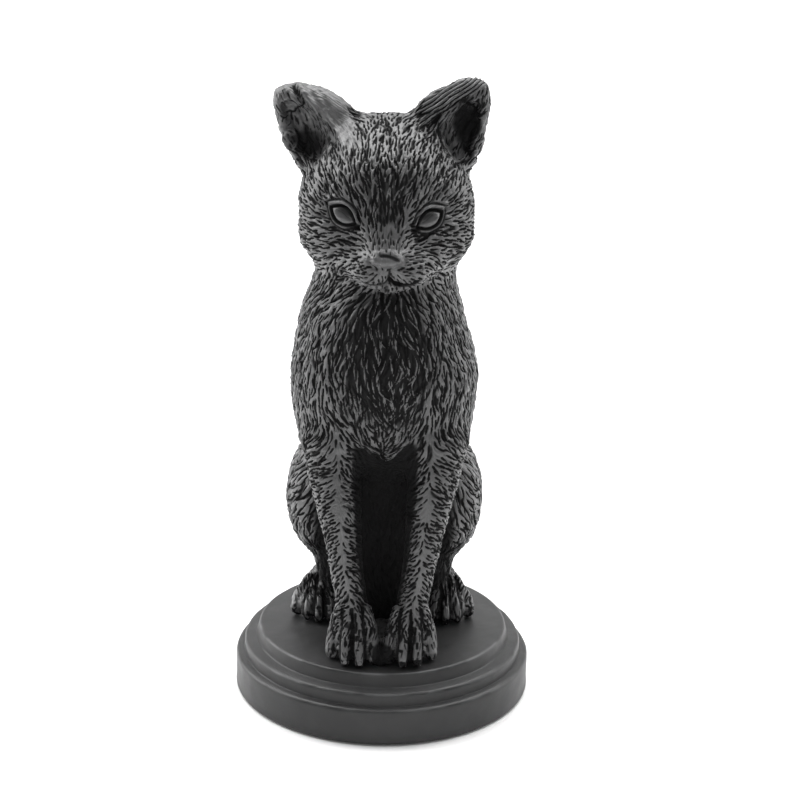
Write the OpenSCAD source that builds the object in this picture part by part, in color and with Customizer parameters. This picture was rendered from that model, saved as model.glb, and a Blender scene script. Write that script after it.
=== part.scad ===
// Seated cat figurine on a round stepped plinth.
// The cat is slip-cast in hollow parts that are luted together; the plinth is cast
// separately, closed by a rubber stopper and stands on four felt pads.
// +Z up, the cat faces -Y, origin at the centre of the footprint on the shelf.

/* [Cat] */
// Height of the cat from the plinth's top to the ear tips
cat_h = 158; // [126:1:190]
// Wall of the hollow castings
wall = 3.4; // [2.6:0.1:4.4]
// Sideways tilt of the head, in degrees
head_tilt = 2; // [0:0.5:3]
// Height of the collar that registers the head on the neck
collar_h = 3; // [2:0.1:5]
// Thickness of the collar's wall
collar_t = 1.6; // [1.2:0.1:2]

/* [Plinth] */
// Height of the plinth above its foot ring
plinth_h = 18.3; // [15.2:0.1:22]
// Flat rim left in front of the toes
rim_margin = 1.7; // [1:0.1:6]
// Height of the top disc's side
disc_h = 4; // [2.5:0.1:5]
// How far the middle step stands out from the top disc
step_w = 4.5; // [3:0.1:6]
// How far the drum stands out from the middle step
drum_w = 2.5; // [1.5:0.1:4]
// Height of the drum above the foot ring
drum_h = 10.6; // [8.5:0.1:11]
// Wall of the plinth
plinth_wall = 3.6; // [2.8:0.1:4.5]
// Width of the foot ring under the plinth
foot_w = 5; // [3:0.1:7]
// Depth of the recess inside the foot ring
recess = 1.6; // [1.2:0.1:2]

/* [Fittings] */
// Radius of the spigot under the torso that registers in the plinth
spigot_r = 9; // [7:0.1:11]
// Length of that spigot
spigot_h = 3; // [2:0.1:4]
// Radius of the vent hole in the plinth's floor
vent_r = 5; // [3.5:0.1:7]
// Radius of each felt pad
pad_r = 6; // [4:0.1:8]
// Thickness of each felt pad
pad_t = 2; // [1.6:0.1:3]
// Slip or glue gap between parts that fit into each other
fit_gap = 0.25; // [0.15:0.05:0.5]

/* [Hidden] */

glaze = "#26272a";      // black glaze on the castings
bisque = "#2b2b2d";     // matt plinth
rubber = "#18181a";
felt = "#1d2420";

k = cat_h / 158;        // the stations below are drawn for a cat 158 mm high
pad_out = pad_t - recess;               // how far the felt stands below the foot ring
foot_z = pad_out;                       // underside of the foot ring
top_z = foot_z + plinth_h;              // the disc that the cat sits on
toe_reach = 33.3 * k;                   // toe tips from the plinth's axis
seat_r = toe_reach + rim_margin;
step_r = seat_r + step_w;
drum_r = step_r + drum_w;
pad_pcr = drum_r - foot_w - pad_r - 3;  // the pads' pitch circle radius
floor_t = plinth_wall;
far = 3 * drum_r + cat_h;               // longer than anything that is cut

// ---------------------------------------------------------------- helpers
// A station is [x, y, z, rx, ry, rz]: an ellipsoid's centre and its three radii.

// Catmull-Rom value between b and c
function spline(a, b, c, d, t) =
    0.5 * (2 * b + (c - a) * t + (2 * a - 5 * b + 4 * c - d) * t * t
           + (3 * b - a - 3 * c + d) * t * t * t);

// The same run of stations with n steps between each pair
function smooth(s, n) = [
    for (i = [0 : len(s) - 2], j = [0 : n - 1])
        spline(s[max(i - 1, 0)], s[i], s[i + 1], s[min(i + 2, len(s) - 1)], j / n),
    s[len(s) - 1]
];

// Stations thinned by t all round, for a cavity
function inset(s, t) = [for (p = s) [p[0], p[1], p[2], p[3] - t, p[4] - t, p[5]]];

function arc(x, y, r, from, to, n = 8) = [
    for (i = [0 : n]) let (a = from + (to - from) * i / n) [x + r * cos(a), y + r * sin(a)]
];

module blob(s, fn = 24)
    translate([s[0], s[1], s[2]]) scale([s[3], s[4], s[5]]) sphere(r = 1, $fn = fn);

module limb(a, b, fn = 24) hull() {
    blob(a, fn);
    blob(b, fn);
}

module chain(s, fn = 24)
    for (i = [0 : len(s) - 2]) limb(s[i], s[i + 1], fn);

module both_sides() {
    children();
    mirror([1, 0, 0]) children();
}

// Everything of the cat is drawn with its seat at z = 0
module on_plinth() translate([0, 0, top_z]) children();
module to_size() scale(k) children();

// ---------------------------------------------------------------- torso
torso_stations = [
    [0, 11, -4, 14, 15, 4],
    [0.3, 10.5, 10, 16.5, 17, 4],
    [0.3, 10, 27, 18.5, 18.5, 4],
    [0, 8.2, 42, 20, 19, 4],
    [-0.6, 5.0, 54, 22.8, 20.3, 4],
    [-0.9, 0.8, 64, 25.2, 22.7, 4],
    [-0.9, -2.0, 74, 25.7, 23.5, 4],
    [-0.9, -3.6, 84, 24.6, 22.6, 4],
    [-1.2, -4.2, 93, 22.4, 20.2, 4],
    [-1.0, -4.0, 101, 19.6, 17.2, 4],
    [-0.7, -3.6, 108, 18.6, 15.6, 4],
    [-0.7, -3.4, 114, 18.2, 15.2, 4]
];
neck_at = [-0.7, -3.6, 108.5]; // a point of the joint between head and torso
neck_tilt = 15;             // the joint rises towards the nape
neck_r = [18.5, 16];      // outer radii of the neck at the joint

module torso_form() {
    chain(smooth(torso_stations, 2), 36);
    both_sides() limb([13.5, -6, 76, 11.5, 15, 15], [12, -4, 62, 11, 15, 12], 28);
}

// The cavity runs on past the joint, so that the neck is open
module torso_cavity()
    chain(inset(smooth([for (i = [1 : 11]) torso_stations[i]], 1), wall / k), 24);

module above_neck() translate(neck_at) rotate([neck_tilt, 0, 0])
    translate([-far / 2, -far / 2, 0]) cube(far);

// A drum on the neck's axis, thinner than the neck by t, from depth to height
module neck_drum(t, depth, height) translate(neck_at) rotate([neck_tilt, 0, 0])
    translate([0, 0, -depth]) scale([neck_r[0] - t, neck_r[1] - t, 1])
        cylinder(r = 1, h = depth + height, $fn = 48);

collar_in = wall / k;                   // the collar carries on the inside of the wall
collar_out = (wall - collar_t) / k;

module torso_shell() difference() {
    union() {
        difference() {
            torso_form();
            above_neck();
        }
        neck_drum(collar_out, wall / k, collar_h / k);
    }
    torso_cavity();
    neck_drum(collar_in, 2 * wall / k, 2 * collar_h / k);
}

seat_y = 10 * k;                        // the spigot's place along Y

module torso() color(glaze) on_plinth() difference() {
    union() {
        difference() {
            to_size() torso_shell();
            translate([-far / 2, -far / 2, -far]) cube(far);
        }
        translate([0, seat_y, -spigot_h]) cylinder(r = spigot_r, h = spigot_h + 1, $fn = 36);
    }
    // the spigot is open, so that the cat vents into the plinth
    translate([0, seat_y, -spigot_h - 1])
        cylinder(r = spigot_r - wall, h = spigot_h + wall + 12 * k, $fn = 24);
}

// ---------------------------------------------------------------- head
head_masses = [             // pairs of stations: each pair is one rounded mass
    [[0, -5.0, 127.5, 22.4, 20, 21.5], [0, -7, 122, 22, 19.5, 17]],         // skull
    [[4, 0, 137, 14, 12, 12], [-4, 0, 137, 14, 12, 12]],                    // crown
    [[12, -8.5, 119.5, 11.6, 12, 11], [12, -7, 124, 11.2, 13, 12]],         // cheek
    [[-12, -8.5, 119.5, 11.6, 12, 11], [-12, -7, 124, 11.2, 13, 12]],       // cheek
    [[0, -16, 133, 13, 9.5, 11], [0, -14, 124, 16, 11, 12]],                // brow
    [[0, -22.0, 128, 5.0, 4, 5], [0, -28.6, 118.4, 4.4, 4.2, 3.4]],         // nose bridge
    [[4.6, -25.4, 114.2, 6.2, 6.6, 5.0], [5, -18, 115, 9, 8, 7]],           // muzzle pad
    [[-4.6, -25.4, 114.2, 6.2, 6.6, 5.0], [-5, -18, 115, 9, 8, 7]],         // muzzle pad
    [[0, -25.2, 110.4, 5.2, 5, 3.8], [0, -17, 110.5, 8, 9, 5]],             // chin
    [[-0.7, -3.6, 109, 18.5, 15.6, 5], [-0.5, -3.4, 112, 18.8, 15.8, 5]]    // neck stub
];

// The head tilts about the neck
module tilted() translate(neck_at) rotate([0, -head_tilt, 0]) translate(-neck_at)
    children();

module head_form(fn = 32) tilted()
    for (m = head_masses) limb(m[0], m[1], fn);

module head_cavity() tilted() {
    limb(inset([[0, -5, 127, 22.2, 20, 18]], wall / k)[0],
         inset([[0, -6, 118, 20, 17, 14]], wall / k)[0], 24);
    limb([0, -15, 122, 12, 8, 9], [0, -10, 120, 14, 10, 10], 20);
}

module head() color(glaze) on_plinth() to_size() difference() {
    intersection() {
        head_form();
        above_neck();
    }
    head_cavity();
    neck_drum(collar_out - fit_gap / k, 1, (collar_h + fit_gap) / k);
}

// ---------------------------------------------------------------- ears
// An ear, drawn on the +X side: a leaf with a scoop in its front
ear_stations = [
    [15.0, -1.0, 138.5, 10.0, 6.0, 8.0],
    [18.2, -0.6, 145.5, 9.8, 4.8, 7.0],
    [21.0, 0.0, 150.8, 7.4, 3.5, 5.4],
    [22.8, 0.4, 153.4, 5.8, 2.4, 4.6]
];
scoop_stations = [
    [16.4, -6.2, 141, 7.0, 4.4, 5.0],
    [18.8, -5.0, 145.6, 6.6, 4.6, 5.0],
    [21.8, -3.6, 149.8, 4.8, 3.6, 3.8],
    [23.6, -2.4, 152.6, 3.0, 2.0, 2.4]
];

module ear(side) color(glaze) on_plinth() to_size() difference() {
    tilted() scale([side, 1, 1]) difference() {
        chain(smooth(ear_stations, 2), 24);
        chain(scoop_stations, 20);
    }
    head_form();
}

// ---------------------------------------------------------------- forelegs
foreleg_stations = [
    [14.4, -13.5, 60, 8.2, 9.5, 4],
    [13.4, -16.8, 51, 7.4, 8.0, 4],
    [12.3, -19.0, 43, 6.4, 6.8, 4],
    [11.0, -20.6, 32, 5.2, 5.7, 4],
    [9.6, -21.6, 23, 4.6, 5.2, 4],
    [8.4, -22.2, 14, 4.4, 5.4, 4],
    [8.3, -24.0, 7, 5.9, 6.2, 4.4]
];
// x and y of each toe tip
foreleg_toes = [[2.4, -31.2], [6.2, -33.2], [10.2, -32.4], [13.6, -27.6]];
toe_r = 2.0;

module foreleg(side) color(glaze) on_plinth() to_size() difference() {
    scale([side, 1, 1]) {
        chain(smooth(foreleg_stations, 2), 26);
        for (t = foreleg_toes)
            limb([(t[0] + 8) / 2, -22.5, 7.5, toe_r, 3, 2.6],
                 [t[0], t[1] + toe_r, 2.1, toe_r - 0.1, toe_r + 0.3, toe_r + 0.4], 14);
        limb([8.4, -23, 3.2, 5.8, 5.2, 3.2], [8.2, -26.5, 2.4, 5.8, 4.6, 2.4], 20);
    }
    torso_form();
    translate([-far / 2, -far / 2, -far]) cube(far);
}

// ---------------------------------------------------------------- hind legs
hind_masses = [             // drawn on the +X side
    [[17.4, 9.5, 35.5, 10.3, 17.5, 18.5], [17.4, 4, 36.5, 10.0, 13.5, 15.5]],   // thigh
    [[13.5, 15, 22, 9.4, 11.5, 18], [14.5, 13, 30, 10, 12, 18]],                // rump
    [[14.6, 3, 20, 5.0, 8.5, 9], [16.4, 5, 13, 4.6, 8, 8]],                     // shin
    [[19.0, 14.5, 6.2, 5.0, 5.4, 5.2], [19.6, 6, 6.8, 5.4, 7, 5.2]],            // heel to instep
    [[19.6, 6, 6.0, 5.6, 6, 5.0], [19.6, 1.6, 4.4, 5.6, 4.2, 3.6]]              // instep to toes
];
hind_toes = [[14.8, -3.8], [18.2, -4.4], [21.6, -2.8], [24.6, 1.2]];

module hind_leg_form(side) scale([side, 1, 1]) {
    for (m = hind_masses) limb(m[0], m[1], 26);
    for (t = hind_toes)
        limb([(t[0] + 19) / 2, 5.5, 9.4, 1.9, 3, 2.4],
             [t[0], t[1] + 1.9, 2.0, 1.8, 2.1, 2.2], 14);
}

module hind_leg(side) color(glaze) on_plinth() to_size() difference() {
    hind_leg_form(side);
    torso_form();
    tail_form();
    translate([-far / 2, -far / 2, -far]) cube(far);
}

// ---------------------------------------------------------------- tail
tail_stations = [
    [0, 24.5, 27, 4.8, 4.8, 4.8],
    [-3.4, 27.6, 20, 4.6, 4.4, 4.6],
    [-7.2, 28.6, 13, 4.3, 4.1, 4.3],
    [-7.4, 28.4, 6.6, 4.1, 4.0, 4.1],
    [-2.0, 29.2, 3.8, 3.9, 3.9, 3.8],
    [5.0, 28.8, 3.6, 3.6, 3.6, 3.6],
    [12.0, 26.4, 3.3, 3.2, 3.2, 3.3],
    [17.6, 23.4, 2.8, 2.5, 2.5, 2.8]
];

module tail_form() chain(smooth(tail_stations, 2), 20);

module tail() color(glaze) on_plinth() to_size() difference() {
    tail_form();
    torso_form();
    translate([-far / 2, -far / 2, -far]) cube(far);
}

// ---------------------------------------------------------------- plinth
edge_r = 0.7;                           // softened edges of the disc and the middle step
drum_edge = 1.6;                        // rounded edge of the drum
step_z = top_z - disc_h;                // foot of the top disc's side
drum_z = foot_z + drum_h;               // foot of the middle step's side
batter = 0.9;                           // how far the top disc's side flares out
fall = 0.5;                             // fall of each shelf towards its edge

plinth_profile = concat(
    [[0, foot_z + recess], [drum_r - foot_w, foot_z + recess],
     [drum_r - foot_w + edge_r, foot_z], [drum_r - edge_r, foot_z], [drum_r, foot_z + edge_r]],
    arc(drum_r - drum_edge, drum_z - fall - drum_edge, drum_edge, 0, 80),
    [[step_r + 0.1, drum_z]],
    arc(step_r - edge_r, step_z - fall - edge_r, edge_r, 0, 80),
    [[seat_r + batter, step_z]],
    arc(seat_r - edge_r, top_z - edge_r, edge_r, 10, 90, 5),
    [[0, top_z]]
);
cavity_profile = [
    [0, foot_z + recess + floor_t],
    [drum_r - plinth_wall, foot_z + recess + floor_t],
    [drum_r - plinth_wall, drum_z - fall - plinth_wall],
    [seat_r - plinth_wall, top_z - plinth_wall],
    [0, top_z - plinth_wall]
];

module plinth() color(bisque) difference() {
    rotate_extrude($fn = 120) polygon(plinth_profile);
    rotate_extrude($fn = 120) polygon(cavity_profile);
    translate([0, 0, foot_z]) cylinder(r = vent_r, h = recess + floor_t + 1, $fn = 48);
    translate([0, seat_y, top_z - plinth_wall - 1])
        cylinder(r = spigot_r + fit_gap, h = plinth_wall + 2, $fn = 48);
}

// Rubber stopper: a flange under the floor, a neck in the vent and a lip above it
flange_t = 0.9;
flange_r = vent_r + 2;
flange_edge = 0.3;                      // chamfer of the flange's lower edge
neck = vent_r - fit_gap;
lip = 0.8;                              // how far the lip stands out from the neck
lip_taper = 1;                          // how far its top is drawn in, to press it through
lip_h = 1.6;
floor_low = foot_z + recess;
floor_high = floor_low + floor_t;
module vent_plug() color(rubber) rotate_extrude($fn = 64) polygon([
    [0, floor_low - flange_t],
    [flange_r - flange_edge, floor_low - flange_t],
    [flange_r, floor_low - flange_t + flange_edge],
    [flange_r, floor_low],
    [neck, floor_low],
    [neck, floor_high],
    [neck + lip, floor_high],
    [neck - lip_taper, floor_high + lip_h],
    [0, floor_high + lip_h]
]);

// Four felt pads glued inside the foot ring
module felt_pads() color(felt)
    for (a = [45 : 90 : 315])
        rotate(a) translate([pad_pcr, 0, 0]) cylinder(r = pad_r, h = pad_t, $fn = 48);

plinth();
vent_plug();
felt_pads();
torso();
head();
ear(1);  // left_ear
ear(-1);  // right_ear
foreleg(1);  // left_foreleg
foreleg(-1);  // right_foreleg
hind_leg(1);  // left_hind_leg
hind_leg(-1);  // right_hind_leg
tail();
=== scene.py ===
"""Seated cat figurine with carved fur on a stepped plinth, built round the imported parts."""
import math

import bmesh
import bpy
import numpy as np
from bpy.props import FloatProperty, FloatVectorProperty, IntProperty, PointerProperty
from mathutils import Matrix, Vector, kdtree


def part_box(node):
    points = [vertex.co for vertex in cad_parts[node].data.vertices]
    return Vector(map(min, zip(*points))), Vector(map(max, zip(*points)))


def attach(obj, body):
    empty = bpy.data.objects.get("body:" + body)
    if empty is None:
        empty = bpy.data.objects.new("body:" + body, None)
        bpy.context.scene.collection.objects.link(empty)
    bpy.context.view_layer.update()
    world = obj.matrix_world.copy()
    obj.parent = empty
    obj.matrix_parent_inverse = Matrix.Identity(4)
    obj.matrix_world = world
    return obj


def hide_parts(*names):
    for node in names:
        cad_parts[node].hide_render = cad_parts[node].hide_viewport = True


bl_info = {
    "name": "Seated cat figurine",
    "version": (1, 0, 0),
    "blender": (4, 5, 0),
    "location": "View3D > Sidebar > Figurine",
    "description": "Builds a seated cat with carved fur on a round stepped plinth",
    "category": "Object",
}

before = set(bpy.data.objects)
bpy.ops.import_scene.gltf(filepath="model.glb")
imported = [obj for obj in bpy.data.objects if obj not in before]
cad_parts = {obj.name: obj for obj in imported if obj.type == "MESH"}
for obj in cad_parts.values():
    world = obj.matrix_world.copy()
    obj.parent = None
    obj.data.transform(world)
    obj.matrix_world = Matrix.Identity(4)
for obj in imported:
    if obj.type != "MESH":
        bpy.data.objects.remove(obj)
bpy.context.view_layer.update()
BODY = "root"
MM = 0.001

SEAT_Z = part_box("plinth")[1][2]                 # the disc that the cat sits on
EAR_TOP = 158.85                                # the higher ear tip, in the clay's millimetres
EAR_Z = max(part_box("left_ear")[1][2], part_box("right_ear")[1][2])
CLAY = (EAR_Z - SEAT_Z) / EAR_TOP               # metres to one millimetre of clay
UP, FORWARD, LEFT, RIGHT = (0, 0, 1), (0, -1, 0), (1, 0, 0), (-1, 0, 0)     # the cat's own

# The plinth and its fittings, in millimetres
TOE_ROOM = 1.7                                  # the disc reaches this far past the toes
STEP_WIDTH = 2.5                                # from the drum's edge in to the middle step's
DISC_H = 4.0
DRUM_H = 10.6
RING_WALL = 5                                   # the foot ring's width
RECESS = 1.6                                    # depth of the recess inside the foot ring
VENT_R, VENT_DEPTH = 5, 3.6
STOPPER_NECK_R = 4.75
FLANGE_H, LIP_H = 0.9, 1.6
PAD_R = 6

# The stage, in metres and watts
FLOOR_HALF, BACKDROP_BEND, BACKDROP_TOP = 1.0, 0.8, 3.0
ROOM_LIGHT = 0.15
SOFTBOXES = (                                   # name, place, size, power, what it faces
    ("left softbox", (-1.0, 0.35, 0.55), (0.7, 1.0), 13.0, (0, 0, 0.09)),
    ("right softbox", (1.0, 0.35, 0.55), (0.7, 1.0), 7.8, (0, 0, 0.09)),
    ("top softbox", (0, 0.45, 1.3), (1.8, 1.2), 38.0, (0, 0.1, 0.0)),
    ("front softbox", (0, -1.6, 0.9), (1.6, 1.0), 6.0, (0, 0, 0.08)),
    ("backdrop wash", (0, 0.5, 1.5), (2.4, 0.5), 8.0, (0, 1.7, 0.5)),
)
CAMERA_LENS = 108.09
CAMERA_PLACE = (3.994, -630, 312.44)            # in millimetres
CAMERA_PITCH, CAMERA_ROLL = math.radians(19.767), math.radians(1.0)

# ---------------------------------------------------------------- sizes and colours


class FigurineSizes(bpy.types.PropertyGroup):
    mesh_step: FloatProperty(
        name="Mesh step", description="Edge length of the cat's finished mesh",
        default=0.25 * MM, min=0.2 * MM, max=1.5 * MM, unit="LENGTH", precision=5)
    fur_depth: FloatProperty(
        name="Fur depth", description="Depth of the carved strokes in the fur",
        default=0.50 * MM, min=0.0, max=1.0 * MM, unit="LENGTH", precision=5)
    stroke_width: FloatProperty(
        name="Stroke width", description="Half of a carved stroke's width at the surface",
        default=0.37 * MM, min=0.2 * MM, max=1.0 * MM, unit="LENGTH", precision=5)
    stroke_length: FloatProperty(
        name="Stroke length", description="Usual length of a carved stroke",
        default=3.6 * MM, min=1.0 * MM, max=8.0 * MM, unit="LENGTH", precision=5)
    plinth_grain: FloatProperty(
        name="Plinth unevenness", description="How far the plinth's cast surface wanders",
        default=0.15 * MM, min=0.0, max=0.5 * MM, unit="LENGTH", precision=5)
    seed: IntProperty(
        name="Seed", description="Sets where the carved strokes fall", default=7, min=0)


class FigurineColours(bpy.types.PropertyGroup):
    glaze: FloatVectorProperty(
        name="Glaze", description="Black glaze on the raised fur",
        subtype="COLOR", size=3, min=0, max=1, default=(0.082, 0.082, 0.083))
    # Painted shade: the dark colour put into the carved strokes and the recesses.
    hollow: FloatVectorProperty(
        name="Hollows", description="Glaze where it lies in the carved strokes",
        subtype="COLOR", size=3, min=0, max=1, default=(0.009, 0.009, 0.0092))
    plinth: FloatVectorProperty(
        name="Plinth", description="Black satin of the plinth",
        subtype="COLOR", size=3, min=0, max=1, default=(0.024, 0.024, 0.0245))
    rubber: FloatVectorProperty(
        name="Rubber", description="Rubber stopper under the plinth",
        subtype="COLOR", size=3, min=0, max=1, default=(0.012, 0.012, 0.012))
    felt: FloatVectorProperty(
        name="Felt", description="Felt of the pads under the plinth",
        subtype="COLOR", size=3, min=0, max=1, default=(0.016, 0.022, 0.018))
    floor: FloatVectorProperty(
        name="Floor", description="Floor and backdrop",
        subtype="COLOR", size=3, min=0, max=1, default=(0.9, 0.9, 0.9))


def sizes():
    return bpy.context.scene.figurine_sizes


def colours():
    return bpy.context.scene.figurine_colours


# ---------------------------------------------------------------- the cat's masses
# Lengths are in the clay's millimetres, from the middle of the plinth's top; the cat
# faces -Y. A station is an ellipsoid: (x, y, z, radius x, radius y, radius z).

TORSO = [
    (0, 11.5, -4, 14, 14, 4),
    (0.3, 11.5, 10, 16.0, 15.5, 4),
    (0.3, 11.5, 27, 17.0, 16.4, 4),
    (0, 9.4, 42, 19, 17.6, 4),
    (-0.6, 5.0, 54, 21.8, 20.0, 4),
    (-0.9, 0.8, 64, 24.2, 22.5, 4),
    (-0.9, -2.0, 74, 24.7, 23.2, 4),
    (-0.9, -3.6, 84, 24.0, 22.4, 4),
    (-1.2, -4.2, 93, 22.9, 20.2, 4),
    (-1.0, -4.0, 101, 20.5, 17.8, 4),
    (-0.7, -3.6, 107.5, 18.3, 16.2, 4),
    (-0.6, -4.0, 113, 17.6, 15.8, 4),
]
SHOULDER = [(12.8, -6, 76, 10.8, 15, 15), (12.2, -8, 64, 10.2, 12, 12)]
BIB = [(0, -14, 96, 12, 11.5, 8), (0, -15, 84, 13, 11, 9), (0, -14, 72, 9.5, 9.2, 8),
       (0.2, -12.6, 63, 5, 6.6, 6.5)]

HEAD = [                        # pairs of stations
    [(0, -5.0, 127.5, 22.0, 20, 20.5), (0, -7, 122, 21.6, 19.5, 17)],        # skull
    [(4, -1, 136.5, 13.5, 12, 11.6), (-4, -1, 136.5, 13.5, 12, 11.6)],       # crown
    [(12, -8.5, 119.5, 11.2, 11.5, 10.5), (12, -6, 124, 11, 13, 12)],        # cheek
    [(-12, -8.5, 119.5, 11.2, 11.5, 10.5), (-12, -6, 124, 11, 13, 12)],      # cheek
    [(0, -15.4, 133, 12, 8.8, 9), (0, -14, 124, 15, 10, 11)],                # brow
    [(0, -4.0, 109, 17.4, 15.6, 5), (0, -4.4, 113, 17.6, 15.8, 5)],          # neck
]
BRIDGE = [(0, -20.3, 128, 5.4, 4, 5), (0, -24.4, 123.0, 5.6, 4, 4), (0.2, -28.6, 117.8, 5.0, 4.0, 3.0)]
MUZZLE = [(4.8, -26.2, 113.4, 5.7, 5.8, 4.9), (6.4, -19, 115, 8.4, 8, 7)]
MUZZLE_TURN = 1.2                               # the muzzle sits a little to +X
CHIN = [(0.8, -25.6, 109.4, 4.8, 4.2, 2.7), (0.3, -17, 111, 8, 9, 5)]
NOSE = [(2.3, -31.3, 116.9, 1.9, 2.0, 1.8), (-1.9, -31.3, 116.9, 1.9, 2.0, 1.8)]
MOUTH_X = 0.7                                   # the mouth's cleft
TOE_BLEND = 0.7
LEFT_EAR = [
    (14.2, -1.0, 139.0, 10.0, 6.2, 8.0),
    (15.2, -0.8, 145.5, 10.6, 5.6, 6.5),
    (16.9, -0.4, 150.6, 9.8, 4.9, 4.6),
    (19.2, -0.2, 153.6, 7.5, 4.0, 3.6),
    (21.2, 0.0, 156.1, 4.9, 3.2, 2.6),
]
RIGHT_EAR = [
    (-15.9, -1.0, 138.5, 10.9, 6.2, 8.0),
    (-18.6, -0.6, 145.5, 11.2, 5.6, 7.0),
    (-21.9, -0.2, 150.6, 9.4, 4.6, 5.2),
    (-25.2, 0.2, 153.2, 6.0, 3.6, 3.4),
]
LEFT_CONCHA = [
    (19.6, -7.0, 140.8, 3.4, 4.8, 3.2),
    (18.9, -6.4, 144.6, 5.0, 5.0, 3.8),
    (20.1, -5.6, 148.4, 4.2, 4.6, 3.2),
    (22.0, -4.4, 151.2, 2.4, 3.4, 2.2),
]
RIGHT_CONCHA = [
    (-21.4, -7.0, 140.6, 4.6, 4.9, 3.3),
    (-22.2, -6.2, 144.2, 5.8, 4.9, 3.8),
    (-24.2, -5.2, 147.6, 4.9, 4.4, 3.2),
    (-26.6, -4.0, 150.6, 3.0, 3.2, 2.0),
]
FORELEG = [
    (14.4, -13.5, 60, 8.0, 9.0, 4),
    (13.6, -16.8, 51, 7.2, 7.6, 4),
    (12.3, -19.0, 43, 6.2, 6.6, 4),
    (10.9, -20.6, 32, 5.0, 5.6, 4),
    (9.6, -21.6, 23, 4.5, 5.2, 4),
    (8.3, -22.2, 14, 4.4, 5.2, 4),
    (8.2, -23.4, 7, 5.4, 5.0, 4.4),
]
FORE_PAW = {                                    # toe tips, and how the toes run back to the heel
    "tips": [(2.0, -31.2), (5.9, -33.2), (10.0, -32.3), (13.7, -27.9)],
    "heel": (8.2, -24.6), "knuckle_z": 14.0, "reach": 0.9, "spread": 0.6,
    # The cleft value is how much shade is painted in the clefts between the toes.
    "cleft_end": -25.5, "cleft_shade": 0.55,
}
HAUNCH = [
    [(17.9, 9.5, 35.5, 10.1, 17.5, 18.0), (17.9, 4, 36.5, 9.8, 13.5, 15.5)],
    [(11.5, 15, 20, 7.6, 11.0, 16), (14.5, 13, 32, 10, 12, 16)],
    [(12.6, 5, 20, 4.6, 8.5, 9), (14.2, 7, 13, 4.2, 8, 8)],
]
HIND_FOOT = [
    [(17.6, 14.5, 5.6, 4.6, 5.4, 4.8), (18.0, 6, 5.6, 4.8, 6.6, 4.4)],
    [(18.2, 6, 5.0, 5.0, 6, 4.4), (19.0, 2.2, 3.8, 5.0, 3.6, 3.2)],
]
HIND_PAW = {
    "tips": [(14.8, -3.8), (18.2, -4.6), (21.6, -3.2), (24.6, 0.6)],
    "heel": (17.4, 6.5), "knuckle_z": 9.5, "reach": 0.5, "spread": 0.5,
    # The cleft value is how much shade is painted in the clefts between the toes.
    "cleft_end": 6.0, "cleft_shade": 0.35,
}
TAIL = [
    (0, 24.5, 27, 4.8, 4.8, 4.8),
    (-3.4, 27.6, 20, 4.6, 4.4, 4.6),
    (-7.2, 28.6, 13, 4.3, 4.1, 4.3),
    (-7.4, 28.4, 6.6, 4.1, 4.0, 4.1),
    (-2.0, 29.2, 3.8, 3.9, 3.9, 3.8),
    (5.0, 28.8, 3.6, 3.6, 3.6, 3.6),
    (12.0, 26.4, 3.3, 3.2, 3.2, 3.3),
    (17.6, 23.4, 2.8, 2.5, 2.5, 2.8),
]
WEB = [(0, -9, 0.5, 5, 5, 3.5), (0, -20, 0.4, 3.6, 4, 3.2), (0, -27.5, 0.2, 2.4, 3, 2.6)]
NECK = np.array((-0.7, -3.6, 108.5))            # a point of the joint below the head
NECK_TILT = math.radians(15)                    # the joint rises towards the nape
HEAD_TILT = math.radians(2)                     # the head leans to one side
EYES = {1: (11.4, -23.4, 126.0), -1: (-12.3, -23.4, 126.7)}


def tilt(points):
    """The head's lean about the neck."""
    turn = Matrix.Rotation(-HEAD_TILT, 3, "Y")
    return (np.asarray(points, float) - NECK) @ np.array(turn).T + NECK


def rows(stations):
    return np.array(stations, float)


def sided(stations, side):
    """The stations, mirrored to the -X side where side is -1."""
    return rows(stations) * (side, 1, 1, 1, 1, 1)


def leaning(stations):
    out = rows(stations)
    out[:, :3] = tilt(out[:, :3])
    return out


def smooth_rows(stations, steps):
    """Stations with Catmull-Rom ones added between them."""
    s = rows(stations)
    padded = np.vstack((s[0], s, s[-1]))
    out = []
    for i in range(len(s) - 1):
        a, b, c, d = padded[i:i + 4]
        for t in np.arange(steps) / steps:
            out.append(0.5 * (2 * b + (c - a) * t + (2 * a - 5 * b + 4 * c - d) * t * t
                              + (3 * b - a - 3 * c + d) * t ** 3))
    out.append(s[-1])
    return np.array(out)


def chain(stations, steps=3):
    s = smooth_rows(stations, steps)
    return list(zip(s[:-1], s[1:]))


def stack(stations, steps=3):
    """Level slices, lowest first."""
    s = smooth_rows(stations, steps)
    return s[np.argsort(s[:, 2])]


def toe_limbs(paw, side):
    """Each toe runs from its knuckle over a bend to its tip."""
    heel_x, heel_y = side * paw["heel"][0], paw["heel"][1]
    spread, knuckle_z = paw["spread"], paw["knuckle_z"]
    out = []
    for tip_x, y in paw["tips"]:
        x = side * tip_x
        knuckle = (spread * x + (1 - spread) * heel_x, heel_y - paw["reach"], knuckle_z, 1.8, 2.1, 2.4)
        bend = (0.9 * x + 0.1 * heel_x, y + 4.4, 0.5 * knuckle_z, 2.05, 2.4, 2.4)
        tip = (x, y + 2.2, 2.4, 1.95, 2.2, 2.4)
        out += chain((knuckle, bend, tip), 2)
    return out


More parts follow.
